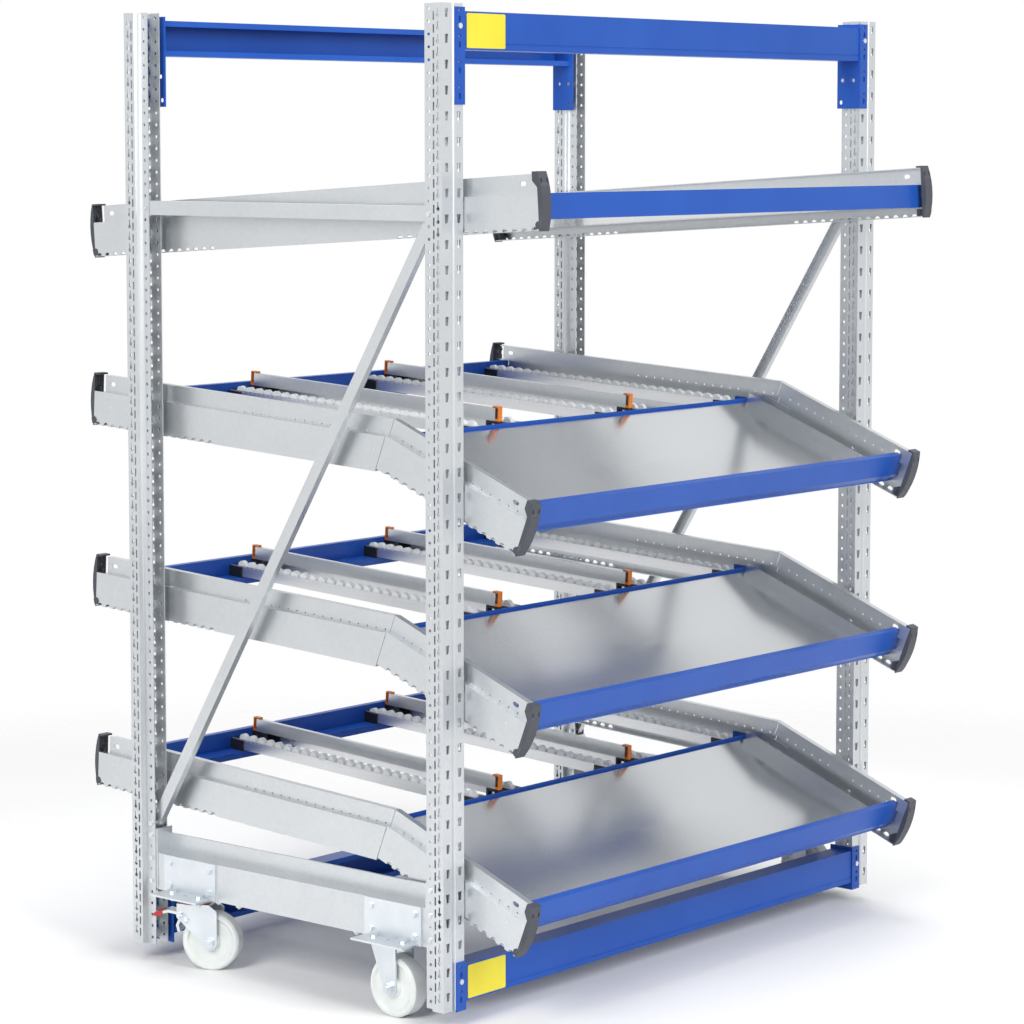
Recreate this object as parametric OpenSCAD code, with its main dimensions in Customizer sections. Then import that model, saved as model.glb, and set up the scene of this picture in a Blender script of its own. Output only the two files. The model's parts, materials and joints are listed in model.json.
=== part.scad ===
// Mobile flow rack: four perforated uprights on castors carry a flat return level on top and
// three tilted levels of wheel tracks, each ending in a steeper drop tray at the picking side.
// Millimetres. X runs across the rack, Y from the picking side to the loading side, Z up from
// the floor. The origin is on the floor under the middle of the rack.

/* [Frame] */
// Width across the outer faces of the uprights
rack_w = 1490; // [1350:10:1700]
// Depth across the faces of the front and rear uprights
rack_d = 900; // [880:10:1000]
// Height of the uprights
post_h = 2000; // [1900:50:2300]

/* [Upright] */
// Width of the face
post_w = 62; // [58:1:70]
// Depth of the wide head behind the face
head_d = 30; // [28:1:34]
// Depth of the whole section
post_d = 57; // [54:1:62]
// Inward step of each rear flange
neck_in = 13; // [11:1:15]
// Depth of the sloped step between head and flanges
neck_slope = 4; // [3:1:6]
// Sheet thickness of the uprights
post_t = 2; // [1.5:0.25:2.5]
// Width of the bead along the middle of the face
bead_w = 10; // [7:1:12]
// Depth of the bead
bead_d = 1.5; // [0.5:0.25:2]
// Spacing of the hook slots along the face
hook_pitch = 50; // [50:5:60]
// Height of the lowest hook slot
first_hook = 31; // [28:1:36]
// Distance of each slot column from the middle of the face
slot_col = 18; // [16:1:20]
// Width of a hook slot
slot_w = 7.5; // [6:0.5:8.5]
// Height of a hook slot
slot_h = 16; // [13:0.5:17]
// Spacing of the holes along the sides and flanges
hole_pitch = 25; // [25:5:30]
// Distance of the large side holes from the face
key_line = 11; // [10:0.5:12]
// Diameter of the large side holes
key_dia = 8; // [7.2:0.2:9]
// Distance of the narrow side slots from the face
narrow_line = 22; // [20:0.5:23]
// Width of a narrow side slot
narrow_w = 3; // [2:0.5:4]
// Height of a narrow side slot
narrow_h = 16; // [10:1:18]
// Distance of the flange holes from the face
bolt_line = 46; // [44:0.5:48]
// Height of the lowest flange hole
first_bolt = 15; // [12:1:18]

/* [Bolts] */
// Diameter of the frame bolts
bolt_dia = 6; // [5:0.5:6.5]
// Diameter of the castor bolts
castor_bolt_dia = 8; // [6:0.5:9]
// Clearance of a bolt in its hole, on the diameter
bolt_play = 0.6; // [0.4:0.1:1]

/* [Cross beams] */
// Height of a cross beam
beam_h = 75; // [65:1:80]
// Depth of a cross beam
beam_d = 50; // [40:1:55]
// Sheet thickness of a cross beam
beam_t = 2; // [1.5:0.25:3]
// Height of the lips along a beam's open side
beam_lip = 12; // [8:1:18]
// Height of the groove above the beam's lower edge
groove_up = 12; // [9:1:20]
// Thickness of the hook brackets
bracket_t = 3; // [2:0.5:4]
// Width of a bracket's front leg on the upright
bracket_front = 26; // [24:1:28]
// Depth of a bracket's side leg
bracket_side = 59; // [52:1:60]
// Height from a bracket's upper edge down to the beam
bracket_over = 8; // [5:1:12]

/* [Side ties] */
// Height of the upper tie's channel
tie_h = 30; // [28:1:34]
// Sheet thickness of ties and braces
tie_t = 1.5; // [1:0.25:2]
// Clearance of a tie between the flanges, on each side
tie_play = 0.2; // [0.1:0.05:0.4]
// Flange hole that holds the upper tie, counted from the lowest
tie_hole = 63; // [60:1:66]
// Flange hole that holds the lower end of the brace
brace_hole = 10; // [10:1:14]
// Width of the diagonal brace
brace_w = 25; // [22:1:26]
// Thickness of the brace's channel across the rack
brace_x = 15; // [12:1:18]
// Outer diameter of the spacer sleeves
sleeve_dia = 11; // [9.5:0.5:13]

/* [Chassis] */
// Height of the chassis rails above the foot of the uprights
chassis_low = 122; // [118:1:130]
// Height of the chassis rail's outer band
chassis_band = 80; // [72:1:90]
// Height of the chassis rail's upper band
chassis_top = 38; // [30:1:44]
// Width of the step between the bands
chassis_step = 36; // [30:1:40]
// Width of the chassis rail's bottom flange
chassis_w = 60; // [58:1:64]
// Sheet thickness of the chassis rail
chassis_t = 3; // [2:0.5:4]
// Height of the lip along the bottom flange
chassis_lip = 12; // [8:1:18]
// Length of the castor brackets along the rail
foot_l = 155; // [150:1:170]
// Reach of a castor bracket beyond the rail
foot_reach = 53; // [48:1:58]
// Thickness of the castor brackets
foot_t = 4; // [3:0.5:5]

/* [Castors] */
// Height of a castor from the floor to the top of its plate
castor_h = 158; // [154:1:166]
// Distance of the fixed castors from mid depth
castor_y_front = 300; // [280:1:305]
// Distance of the swivel axes from mid depth
castor_y_rear = 288; // [270:1:290]
// Length of a castor plate along the rail
plate_l = 105; // [100:1:110]
// Width of a castor plate across the rail
plate_w = 85; // [80:1:90]
// Thickness of a castor plate
plate_t = 4; // [3:0.5:5]
// Spacing of the plate's holes along the rail
plate_hole_l = 80; // [76:1:84]
// Spacing of the plate's holes across the rail
plate_hole_w = 60; // [58:1:64]
// Diameter of a castor wheel
wheel_dia = 125; // [118:1:128]
// Width of a castor wheel's tread
wheel_w = 40; // [34:1:42]
// Length of a castor wheel's hub
hub_l = 46; // [44:1:46.5]
// Diameter of the castor axles
axle_dia = 12; // [10:0.5:14]
// Radial clearance of a wheel or a pin that turns
run_play = 0.06; // [0.03:0.01:0.1]
// Clear width inside a castor fork
fork_gap = 48; // [48:0.5:50]
// Sheet thickness of a castor fork
fork_t = 3.5; // [2.5:0.5:4.5]
// Offset of the rear wheel's axle from its swivel axis
trail = 38; // [32:1:40]
// Turn of the swivel castors at rest, in degrees
rest_swivel = 28; // [0:1:90]
// Diameter of the swivel race
race_dia = 56; // [50:1:60]
// Height of the swivel race and its dust ring
race_h = 10; // [8:0.5:12]
// Diameter of the kingpin
kingpin_dia = 16; // [12:1:20]

/* [Level rails] */
// Height of a level rail
rail_h = 110; // [106:1:116]
// Width of a level rail across its flanges
rail_w = 27; // [25:1:30]
// Height of the rail's outer band
rail_band = 74; // [72:1:78]
// Width of the step between the rail's bands
rail_step = 12; // [10:1:13]
// Sheet thickness of the rails
rail_t = 2; // [1.5:0.25:2.5]
// Thickness of the hanger plates between rails and uprights
hanger_t = 2; // [1.5:0.25:3]
// Radius of the notches along a rail's lower edge
notch_r = 7.5; // [5:0.5:8]
// Length of the cut-back of the upper band at a free end
cut_back = 22; // [16:1:26]
// Depth of the plastic end caps
cap_d = 12; // [10:1:15]

/* [Flow levels] */
// Height of the lowest kink above the foot of the uprights
low_kink_z = 373.5; // [365:0.5:390]
// Spacing of the flow levels
level_pitch = 400; // [390:5:405]
// Distance of the kink behind the front faces of the uprights
kink_back = 197; // [190:1:210]
// Slope of the wheel tracks in degrees
rear_slope = 3.2; // [2.5:0.1:4]
// Slope of the drop trays in degrees
drop_slope = 21.5; // [19:0.5:23]
// Length of the drop rails
drop_l = 397; // [387:1:405]
// Length of the rear rails from the kink along their upper edge
rear_l = 877; // [865:1:905]
// Height of the kink and rear beams' track flange above the rail's lower edge
flange_z = 30; // [28:0.5:32]
// Width of the track flange
flange_w = 44; // [42:1:50]
// Distance of the kink beam's wall behind the kink
kink_wall = 96; // [94:1:100]
// Distance of the rear beam's wall from the rear end of the rails
rear_inset = 31; // [28:1:36]
// Sheet thickness of the blue beams
blue_t = 2; // [1.5:0.25:2.5]
// Height of the kink beam's upper edge above the rail's lower edge
kink_top = 59; // [56:0.5:62]
// Depth of the tray floor below the drop rail's upper edge
tray_down = 85; // [82:1:88]
// Height of the tray's side upstands
tray_side = 24; // [18:1:30]
// Sheet thickness of trays and deck
tray_t = 1.5; // [1:0.25:2]
// Distance of the front beam from the front end of the drop rails
front_inset = 31; // [27:1:36]
// Height of the front beam's face
front_face = 50; // [46:1:54]
// Depth of the front beam's upper edge below the drop rail's upper edge
front_down = 19; // [17:1:24]
// Clearance between pieces that fit side by side
side_play = 0.3; // [0.2:0.05:0.5]

/* [Wheel tracks] */
// Distance of the lane guides from the middle of the rack
guide_x = 225; // [210:5:240]
// Distance of the tracks from the lane guide
track_off = 60; // [50:1:70]
// Distance of the outer tracks from the rail's flanges
outer_off = 50; // [40:1:70]
// Width of a track channel
track_w = 30; // [28:0.5:34]
// Height of a track channel
track_h = 23.5; // [23:0.5:26]
// Wall thickness of a track channel
track_t = 1.5; // [1:0.25:2]
// Diameter of a track wheel
roller_dia = 22; // [20:0.5:23]
// Width of a track wheel
roller_w = 11; // [9:0.5:11.5]
// Spacing of the axles along a track
roller_pitch = 13.85; // [13.5:0.05:15]
// Offset of the two wheel columns from the middle of the track
roller_col = 6.2; // [6:0.1:6.6]
// Diameter of a track wheel's axle
pivot_dia = 3; // [2.5:0.1:3.4]
// Depth of the axles below the upper edge of the track
pivot_down = 3; // [2.8:0.1:4]
// Length of a track holder
holder_l = 40; // [34:1:40]
// Wall thickness of a track holder
holder_t = 2.8; // [2:0.2:3.4]
// Height of a track holder's side walls
holder_h = 24; // [20:1:30]
// Width of a lane guide
guide_w = 12; // [10:0.5:16]
// Height of a lane guide
guide_h = 28; // [22:1:32]
// Height of the lane guide's lower edge above the track flange
guide_up = 32; // [30:1:36]
// Sheet thickness of a lane guide
guide_t = 1.2; // [1:0.1:2]
// Length of the guide clips
clip_l = 10; // [8:1:16]

/* [Return level] */
// Depth of the return rails' upper edge at mid depth below the top of the uprights
return_down = 370.3; // [350:0.1:390]
// Slope of the return level in degrees, higher at the picking side
return_slope = 3.7; // [3:0.1:4.5]
// Length of the return rails in front of mid depth
return_front = 637; // [627:1:655]
// Length of the return rails behind mid depth
return_rear = 625; // [607:1:637]
// Height of the return level's front beam
return_face = 47; // [42:1:50]
// Spacing of the slots along the front edge of the deck
deck_slot_pitch = 130; // [100:5:160]

/* [Hidden] */
$fn = 32;

GALVANISED = [0.80, 0.82, 0.84];
BLUE = [0.16, 0.30, 0.68];
ALUMINIUM = [0.86, 0.87, 0.88];
ZINC = [0.78, 0.81, 0.84];
NYLON = [0.92, 0.93, 0.91];
GREY_PLASTIC = [0.33, 0.34, 0.38];
BLACK_PLASTIC = [0.10, 0.10, 0.11];
ORANGE = [0.88, 0.47, 0.12];
RED = [0.72, 0.22, 0.22];

// Overlap of a cutting solid beyond the face it cuts
over = 1;

// Uprights
post_x = rack_w / 2 - post_w / 2;
post_inner = rack_w / 2 - post_w;
web_y = rack_d / 2;
neck_half = post_w / 2 - neck_in;
bolt_y = web_y - bolt_line;
key_y = web_y - key_line;
bolt_hole = bolt_dia + bolt_play;
top_hook = floor((post_h - first_hook - slot_h) / hook_pitch);
foot_z = castor_h - chassis_low;
tie_z = first_bolt + hole_pitch * tie_hole;
brace_z = first_bolt + hole_pitch * brace_hole;

// Level rails, measured from the middle of the rack
rail_out = post_inner - hanger_t;
rail_in = rail_out - rail_w;
band_in = rail_out - rail_t;
upper_out = rail_out - rail_step;
upper_in = upper_out - rail_t;
kink_y = kink_back - web_y;
return_z = post_h - return_down;
cap_foot_z = 10;
reach_front = (return_front + cap_d) * cos(return_slope) + (rail_h - cap_foot_z) * sin(return_slope);
reach_rear = kink_y + (rear_l + cap_d) * cos(rear_slope) + (rail_h - cap_foot_z) * sin(rear_slope);
shift_y = (reach_front - reach_rear) / 2;

// Blue beams between the rails
plate_end_t = 3;
beam_end = band_in - plate_end_t;
tray_z = rail_h - tray_down;
rear_wall = rear_l - rear_inset;
lip_down = 13;
tray_half = rail_in - over;
front_y = front_inset - drop_l;
front_lean = 10;
tray_gap = 6;
front_top = rail_h - front_down;
tilt = drop_slope - rear_slope;
tray_front = front_y + front_lean + 2 * blue_t;
tray_rear = kink_wall / cos(tilt) - (tray_down + tray_t) * tan(tilt) - tray_gap;

// Wheel tracks
track_xs = [guide_x - track_off, guide_x + track_off, rail_in - outer_off];
holder_front = kink_wall + blue_t + side_play;
holder_rear = rear_wall - side_play;
track_z = flange_z + blue_t + holder_t;
track_front = holder_front + holder_t;
track_rear = holder_rear - holder_t;
pivot_z = track_z + track_h - pivot_down;
end_axle = roller_dia / 2 + side_play;
rollers = floor((track_rear - track_front - 2 * end_axle) / roller_pitch);
roller_start = (track_front + track_rear - rollers * roller_pitch) / 2;
pivot_play = 0.1;
guide_z = flange_z + blue_t + guide_up;

// Castors
chassis_inset = 4;
chassis_x = post_x + neck_half - chassis_inset;
chassis_in = chassis_x - chassis_w;
castor_x = post_x;
castor_hole = castor_bolt_dia + bolt_play;
axle_z = wheel_dia / 2 - foot_z;
plate_z = chassis_low - plate_t;
axle_hole_play = 0.1;
fork_out = fork_gap / 2 + fork_t;
head_gap = 0.3;
head_t = 6;
head_z = plate_z - race_h - head_gap - head_t;
pedal_y = 26;
pedal_down = 19;
pedal_z = head_z - pedal_down;
pedal_pin = 8;

// Frames of reference
module in_frame() { translate([0, shift_y, foot_z]) children(); }
module mirrored() { mirror([1, 0, 0]) children(); }
module both_sides() {
  children();
  mirrored() children();
}
module front_and_rear() {
  children();
  mirror([0, 1, 0]) children();
}
module rear_frame(level) {
  translate([0, kink_y, low_kink_z + level * level_pitch]) rotate([rear_slope, 0, 0])
    translate([0, 0, -rail_h]) children();
}
module drop_frame(level) {
  translate([0, kink_y, low_kink_z + level * level_pitch]) rotate([drop_slope, 0, 0])
    translate([0, 0, -rail_h]) children();
}
module return_frame() {
  translate([0, 0, return_z]) rotate([-return_slope, 0, 0]) translate([0, 0, -rail_h]) children();
}

// A flat outline in Y and Z pushed along X, and one in X and Z pushed along Y
module along_x(x0, x1) { translate([x0, 0, 0]) rotate([90, 0, 90]) linear_extrude(x1 - x0) children(); }
module along_y(y0, y1) { translate([0, y1, 0]) rotate([90, 0, 0]) linear_extrude(y1 - y0) children(); }
module rod_x(x0, x1, y, z, d) { translate([x0, y, z]) rotate([0, 90, 0]) cylinder(h = x1 - x0, d = d); }
module rod_z(x, y, z0, z1, d) { translate([x, y, z0]) cylinder(h = z1 - z0, d = d); }
module bar(p, q, t) {
  run = norm(q - p);
  translate(p) rotate(atan2(q[1] - p[1], q[0] - p[0])) {
    translate([0, -t / 2]) square([run, t]);
    circle(d = t);
    translate([run, 0]) circle(d = t);
  }
}
module slot_2d(l, w) { bar([-(l - w) / 2, 0], [(l - w) / 2, 0], w); }

// Hexagon bolt and nut along X with the head at x_head and the nut at x_nut
module bolt_x(x_head, x_nut, y, z, d) {
  s = sign(x_nut - x_head);
  translate([x_head, y, z]) rotate([0, 90 * s, 0]) bolt_body(abs(x_nut - x_head), d);
}
module bolt_body(grip, d) {
  head = 0.65 * d;
  nut = 0.8 * d;
  hex = 1.9 * d;
  translate([0, 0, -head]) cylinder(h = head, d = hex, $fn = 6);
  cylinder(h = grip + 1.1 * d, d = d);
  translate([0, 0, grip]) cylinder(h = nut, d = hex, $fn = 6);
}
// Round-headed rivet bolt along X, flush at its far end
module rivet_x(x_head, x_end, y, z, d) {
  head = 0.6 * d;
  rod_x(x_head, x_end, y, z, d);
  rod_x(x_head - head, x_head, y, z, 1.9 * d);
}

// Heights along the uprights
function hook_z(k) = first_hook + hook_pitch * k;
function key_below(z) = hole_pitch * floor(z / hole_pitch);
function drop_top(level, y) = low_kink_z + level * level_pitch + (y - kink_y) * tan(drop_slope);
function rear_top(level, y) = low_kink_z + level * level_pitch + (y - kink_y) * tan(rear_slope);
function return_top(y) = return_z - y * tan(return_slope);
// Lower of the two side holes that hold a rail whose upper edge is at the given height
function hanger_z(top, slope) = key_below(top - (rail_h - rail_band / 2) / cos(slope));
hanger_spots = concat(
  [for (level = [0 : 2]) [-key_y, hanger_z(drop_top(level, -key_y), drop_slope)]],
  [for (level = [0 : 2]) [key_y, hanger_z(rear_top(level, key_y), rear_slope)]],
  [[-key_y, hanger_z(return_top(-key_y), return_slope)], [key_y, hanger_z(return_top(key_y), return_slope)]]
);

// Upright with its face on the XZ plane, the flanges towards +Y
module upright_outline() {
  h = post_w / 2;
  lean = 0.75 * post_t;
  ramp = bead_w / 2 - bead_d;
  half = [
    [ramp, bead_d], [bead_w / 2, 0], [h, 0], [h, head_d], [neck_half, head_d + neck_slope],
    [neck_half, post_d], [neck_half - post_t, post_d], [neck_half - post_t, head_d + neck_slope - lean],
    [h - post_t, head_d - lean], [h - post_t, post_t], [bead_w / 2 + lean, post_t],
    [ramp + lean, post_t + bead_d]
  ];
  last = len(half) - 1;
  inner = [for (i = [0 : last]) [-half[last - i][0], half[last - i][1]]];
  polygon(concat(half, inner));
}
module upright() {
  difference() {
    linear_extrude(post_h) upright_outline();
    for (k = [0 : top_hook]) {
      for (s = [-1, 1]) {
        translate([s * slot_col - slot_w / 2, -over, hook_z(k) - slot_h / 2])
          cube([slot_w, post_t + 2 * over, slot_h]);
      }
    }
    for (z = [hole_pitch : hole_pitch : post_h - hole_pitch / 2]) {
      rod_x(-post_w / 2 - over, post_w / 2 + over, key_line, z, key_dia);
      translate([post_w / 2 - post_t - over, narrow_line - narrow_w / 2, z - narrow_h / 2])
        cube([post_t + 2 * over, narrow_w, narrow_h]);
    }
    for (z = [first_bolt : hole_pitch : post_h - bolt_dia]) {
      rod_x(-post_w / 2 - over, post_w / 2 + over, bolt_line, z, bolt_hole);
    }
  }
}
module upright_at(side, face) {
  color(GALVANISED) in_frame() placed(side, face) translate([post_x, -web_y, 0]) upright();
}
module placed(side, face) {
  mirror([side < 0 ? 1 : 0, 0, 0]) mirror([0, face > 0 ? 1 : 0, 0]) children();
}

// Cross beam with a hook bracket at each end, at the front of the rack
groove_d = 1;
lock_dia = 5;
lock_head = 3;
hook_t = 2;
hook_side = 0.5;
vent_dia = 10;
vent_up = 64;
vent_ys = [16, 45];
corner_in = 10;
corner_up = 14;
module beam_outline(low) {
  y0 = -web_y;
  y1 = y0 + beam_d;
  high = low + beam_h;
  g = low + groove_up;
  d = groove_d;
  t = beam_t;
  miter = 0.3 * t;
  polygon([
    [y0, low], [y0, g - 2 * d], [y0 + d, g - d], [y0 + d, g + d], [y0, g + 2 * d], [y0, high], [y1, high],
    [y1, high - beam_lip], [y1 - t, high - beam_lip], [y1 - t, high - t], [y0 + t, high - t],
    [y0 + t, g + 2 * d + miter], [y0 + t + d, g + d + miter], [y0 + t + d, g - d - miter],
    [y0 + t, g - 2 * d - miter], [y0 + t, low + t], [y1 - t, low + t], [y1 - t, low + beam_lip],
    [y1, low + beam_lip], [y1, low]
  ]);
}
module hook_bracket(low, high, hook_from, hook_to, lock_z) {
  x0 = post_inner - bracket_t;
  y0 = -web_y - bracket_t;
  hook_w = slot_w - 2 * hook_side;
  difference() {
    union() {
      translate([x0, y0, low]) cube([bracket_t + bracket_front, bracket_t, high - low]);
      translate([x0, y0, low]) cube([bracket_t, bracket_side + bracket_t, high - low]);
    }
    translate([post_x - slot_col, y0 - over, lock_z]) rotate([-90, 0, 0])
      cylinder(h = bracket_t + 2 * over, d = lock_dia + bolt_play);
    if (high - low > beam_h + 3 * hook_pitch / 2) {
      for (y = vent_ys) rod_x(x0 - over, post_inner + over, y - web_y, low + vent_up, vent_dia);
      rod_x(x0 - over, post_inner + over, bracket_side - corner_in - web_y, low + corner_up, vent_dia);
    }
  }
  for (k = [hook_from : hook_to]) {
    translate([post_x - slot_col - hook_w / 2, -web_y - over, hook_z(k) - slot_h / 2 + side_play])
      cube([hook_w, over + post_t + side_play + hook_t, slot_h / 2]);
    translate([post_x - slot_col - hook_w / 2, -web_y + post_t + side_play, hook_z(k) - slot_h])
      cube([hook_w, hook_t, slot_h]);
  }
}
module cross_beam(low, bracket_low, bracket_high, hook_from, hook_to, lock_z) {
  along_x(-post_inner + bracket_t, post_inner - bracket_t) beam_outline(low);
  both_sides() hook_bracket(bracket_low, bracket_high, hook_from, hook_to, lock_z);
}
top_edge = 12;
top_skirt = 28;
bottom_edge = 15;
bottom_skirt = 35;
top_bracket = hook_z(top_hook) + top_edge;
top_low = hook_z(top_hook - 3) - top_skirt;
top_beam_z = top_bracket - bracket_over - beam_h;
top_lock = hook_z(top_hook) - hook_pitch / 2;
bottom_bracket = hook_z(1) + bottom_edge;
bottom_low = hook_z(0) - bottom_skirt;
bottom_beam_z = bottom_bracket - bracket_over - beam_h;
bottom_lock = hook_z(1) - hook_pitch / 2;
module top_beams() {
  color(BLUE) in_frame() front_and_rear()
    cross_beam(top_beam_z, top_low, top_bracket, top_hook - 3, top_hook, top_lock);
}
module bottom_beams() {
  color(BLUE) in_frame() front_and_rear()
    cross_beam(bottom_beam_z, bottom_low, bottom_bracket, 0, 1, bottom_lock);
}

// Upper ties: channels, open downwards, between the flanges of the uprights
tie_half = neck_half - post_t - tie_play;
tie_end = 11;
module upper_ties() {
  color(GALVANISED) in_frame() both_sides() difference() {
    translate([post_x - tie_half, -bolt_y - tie_end, tie_z - tie_h / 2])
      cube([2 * tie_half, 2 * (bolt_y + tie_end), tie_h]);
    translate([post_x - tie_half + tie_t, -bolt_y - tie_end - over, tie_z - tie_h / 2 - over])
      cube([2 * (tie_half - tie_t), 2 * (bolt_y + tie_end + over), tie_h + over - tie_t]);
    for (s = [-1, 1]) rod_x(post_x - neck_half, post_x + neck_half, s * bolt_y, tie_z, bolt_hole);
  }
}

// Diagonal braces: shallow pressed channels with round ends
brace_run = norm([2 * bolt_y, tie_z - brace_z]);
brace_turn = atan2(brace_z - tie_z, 2 * bolt_y);
module brace_outline(w) { slot_2d(brace_run + w, w); }
module diagonal_braces() {
  color(GALVANISED) in_frame() both_sides() difference() {
    translate([0, 0, (tie_z + brace_z) / 2]) rotate([brace_turn, 0, 0]) difference() {
      along_x(post_x - brace_x / 2, post_x + brace_x / 2) brace_outline(brace_w);
      along_x(post_x - brace_x / 2 - over, post_x + brace_x / 2 - tie_t) brace_outline(brace_w - 2 * tie_t);
    }
    rod_x(post_x - brace_x, post_x + brace_x, -bolt_y, tie_z, bolt_hole);
    rod_x(post_x - brace_x, post_x + brace_x, bolt_y, brace_z, bolt_hole);
  }
}
// Sleeves that keep the braces in the middle of the uprights
module sleeve(x0, x1, y, z) {
  difference() {
    rod_x(x0, x1, y, z, sleeve_dia);
    rod_x(x0 - over, x1 + over, y, z, bolt_hole);
  }
}
module brace_spacers() {
  front_wall = tie_half - tie_t;
  rear_wall_x = neck_half - post_t;
  color(ZINC) in_frame() both_sides() {
    sleeve(post_x - front_wall, post_x + brace_x / 2 - tie_t, -bolt_y, tie_z);
    sleeve(post_x + brace_x / 2, post_x + front_wall, -bolt_y, tie_z);
    sleeve(post_x - rear_wall_x, post_x + brace_x / 2 - tie_t, bolt_y, brace_z);
    sleeve(post_x + brace_x / 2, post_x + rear_wall_x, bolt_y, brace_z);
  }
}

// Chassis rails: stepped rails between the uprights, with a bolted tongue at each end
chassis_gap = 2;
chassis_end = web_y - post_d - chassis_gap;
tongue_edge = 15;
tongue_t = 3;
tongue_holes = [5, 7, 9];
tongue_half = neck_half - post_t - tie_play;
module chassis_outline() {
  z0 = chassis_low;
  z1 = z0 + chassis_band;
  z2 = z1 + chassis_top;
  x1 = chassis_x - chassis_step;
  t = chassis_t;
  polygon([
    [chassis_x, z0], [chassis_x, z1], [x1, z1], [x1, z2], [x1 - 2 * t, z2], [x1 - 2 * t, z2 - t],
    [x1 - t, z2 - t], [x1 - t, z1 - t], [chassis_x - t, z1 - t], [chassis_x - t, z0 + t],
    [chassis_in + t, z0 + t], [chassis_in + t, z0 + chassis_lip], [chassis_in, z0 + chassis_lip],
    [chassis_in, z0]
  ]);
}
function tongue_z(i) = first_bolt + hole_pitch * tongue_holes[i];
module tongue() {
  low = tongue_z(0) - tongue_edge;
  high = tongue_z(2) + tongue_edge;
  reach = bolt_y + tie_end - chassis_end;
  x0 = post_x - tongue_half;
  x1 = post_x + tongue_half;
  plate_x = chassis_x - chassis_step - 2 * chassis_t;
  difference() {
    union() {
      translate([plate_x, chassis_end - tongue_t, low]) cube([x1 - plate_x, tongue_t, high - low]);
      for (x = [x0, x1 - tongue_t]) {
        translate([x, chassis_end - over, low]) cube([tongue_t, reach + over, high - low]);
      }
    }
    for (i = [0 : 2]) rod_x(x0 - over, x1 + over, bolt_y, tongue_z(i), bolt_hole);
  }
}
module chassis_rails() {
  color(GALVANISED) in_frame() both_sides() difference() {
    union() {
      along_y(-chassis_end + over, chassis_end - over) chassis_outline();
      front_and_rear() tongue();
    }
    castor_spots() {
      foot_holes();
      translate([0, 0, chassis_low]) plate_holes(-plate_hole_w / 2);
    }
  }
}
module castor_spots() {
  translate([0, -castor_y_front, 0]) children();
  translate([0, castor_y_rear, 0]) children();
}

// Castor brackets: angle plates that widen the chassis rail for the castor plates
foot_hole_l = 118;
foot_hole_h = 47;
foot_corner = 7;
foot_slot_l = 16;
foot_slot_w = 8;
foot_mid = chassis_low + chassis_band / 2;
module foot_holes() {
  for (y = [-1, 1]) {
    for (z = [-1, 1]) {
      rod_x(chassis_x - chassis_t - over, chassis_x + foot_t + over,
            y * foot_hole_l / 2, foot_mid + z * foot_hole_h / 2, castor_hole);
    }
  }
}
module plate_holes(dx) {
  for (y = [-1, 1]) {
    translate([castor_x + dx, y * plate_hole_l / 2, -over])
      cylinder(h = max(foot_t, chassis_t, plate_t) + 2 * over, d = castor_hole);
  }
}
module castor_brackets() {
  flange_l = foot_l - 2 * foot_corner;
  color(ZINC) in_frame() both_sides() castor_spots() difference() {
    union() {
      translate([chassis_x, -foot_l / 2, chassis_low]) cube([foot_t, foot_l, chassis_band]);
      translate([chassis_x, -flange_l / 2, chassis_low]) cube([foot_reach, flange_l, foot_t]);
    }
    foot_holes();
    translate([0, 0, chassis_low]) plate_holes(plate_hole_w / 2);
    translate([castor_x + plate_hole_w / 2, 0, chassis_low - over]) linear_extrude(foot_t + 2 * over)
      rotate(90) slot_2d(foot_slot_l, foot_slot_w);
  }
}

// Hanger plates between the level rails and the uprights
module rail_hangers() {
  edge = 14;
  color(ZINC) in_frame() both_sides() for (spot = hanger_spots) {
    difference() {
      translate([rail_out, spot[0] - key_line + post_t, spot[1] - edge])
        cube([hanger_t, 2 * (key_line - post_t), hole_pitch + 2 * edge]);
      hanger_holes(spot);
    }
  }
}
module hanger_holes(spot) {
  for (k = [0, 1]) rod_x(rail_in, post_inner + over, spot[0], spot[1] + k * hole_pitch, bolt_hole);
}

// Stepped section of a level rail, open towards the middle of the rack
module rail_outline() {
  t = rail_t;
  polygon([
    [rail_in, 0], [rail_out, 0], [rail_out, rail_band], [upper_out, rail_band], [upper_out, rail_h],
    [rail_in, rail_h], [rail_in, rail_h - t], [upper_in, rail_h - t], [upper_in, rail_band - t],
    [band_in, rail_band - t], [band_in, t], [rail_in, t]
  ]);
}
notch_pitch = 25;
notch_deep = 6;
notch_end = 13;
notch_run = 350;
ledge_run = 450;
ledge_hole = 4;
end_slot_gap = 15;
end_slot_l = 16;
end_slot_w = 9;
seam = 1.5;
module notches(y0, y1) {
  for (y = [y0 : notch_pitch : y1]) rod_x(rail_out - notch_deep, rail_out + over, y, 0, 2 * notch_r);
}
module ledge_holes(y0, y1) {
  z = rail_band + ledge_hole;
  for (y = [y0 : notch_pitch : y1]) rod_x(upper_in - over, upper_out + over, y, z, ledge_hole);
}
// Obround slot in the upper band near a rail end that points to s
module end_slot(y, s) {
  slot_mid = y - s * (cut_back + end_slot_gap + end_slot_l / 2);
  along_x(upper_in - over, upper_out + over) translate([slot_mid, rail_band + (rail_h - rail_band) / 2])
    slot_2d(end_slot_l, end_slot_w);
}
// Cut-back of the upper band at a rear end, where the cap's tab sits
module rear_cut(y) {
  translate([rail_in - over, y - cut_back, rail_band]) cube([rail_w + 2 * over, cut_back + over, rail_h]);
}
end_bolt = 15;
module end_bolt_hole(y, z) { rod_x(beam_end - over, rail_out + over, y, z, bolt_hole); }

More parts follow.
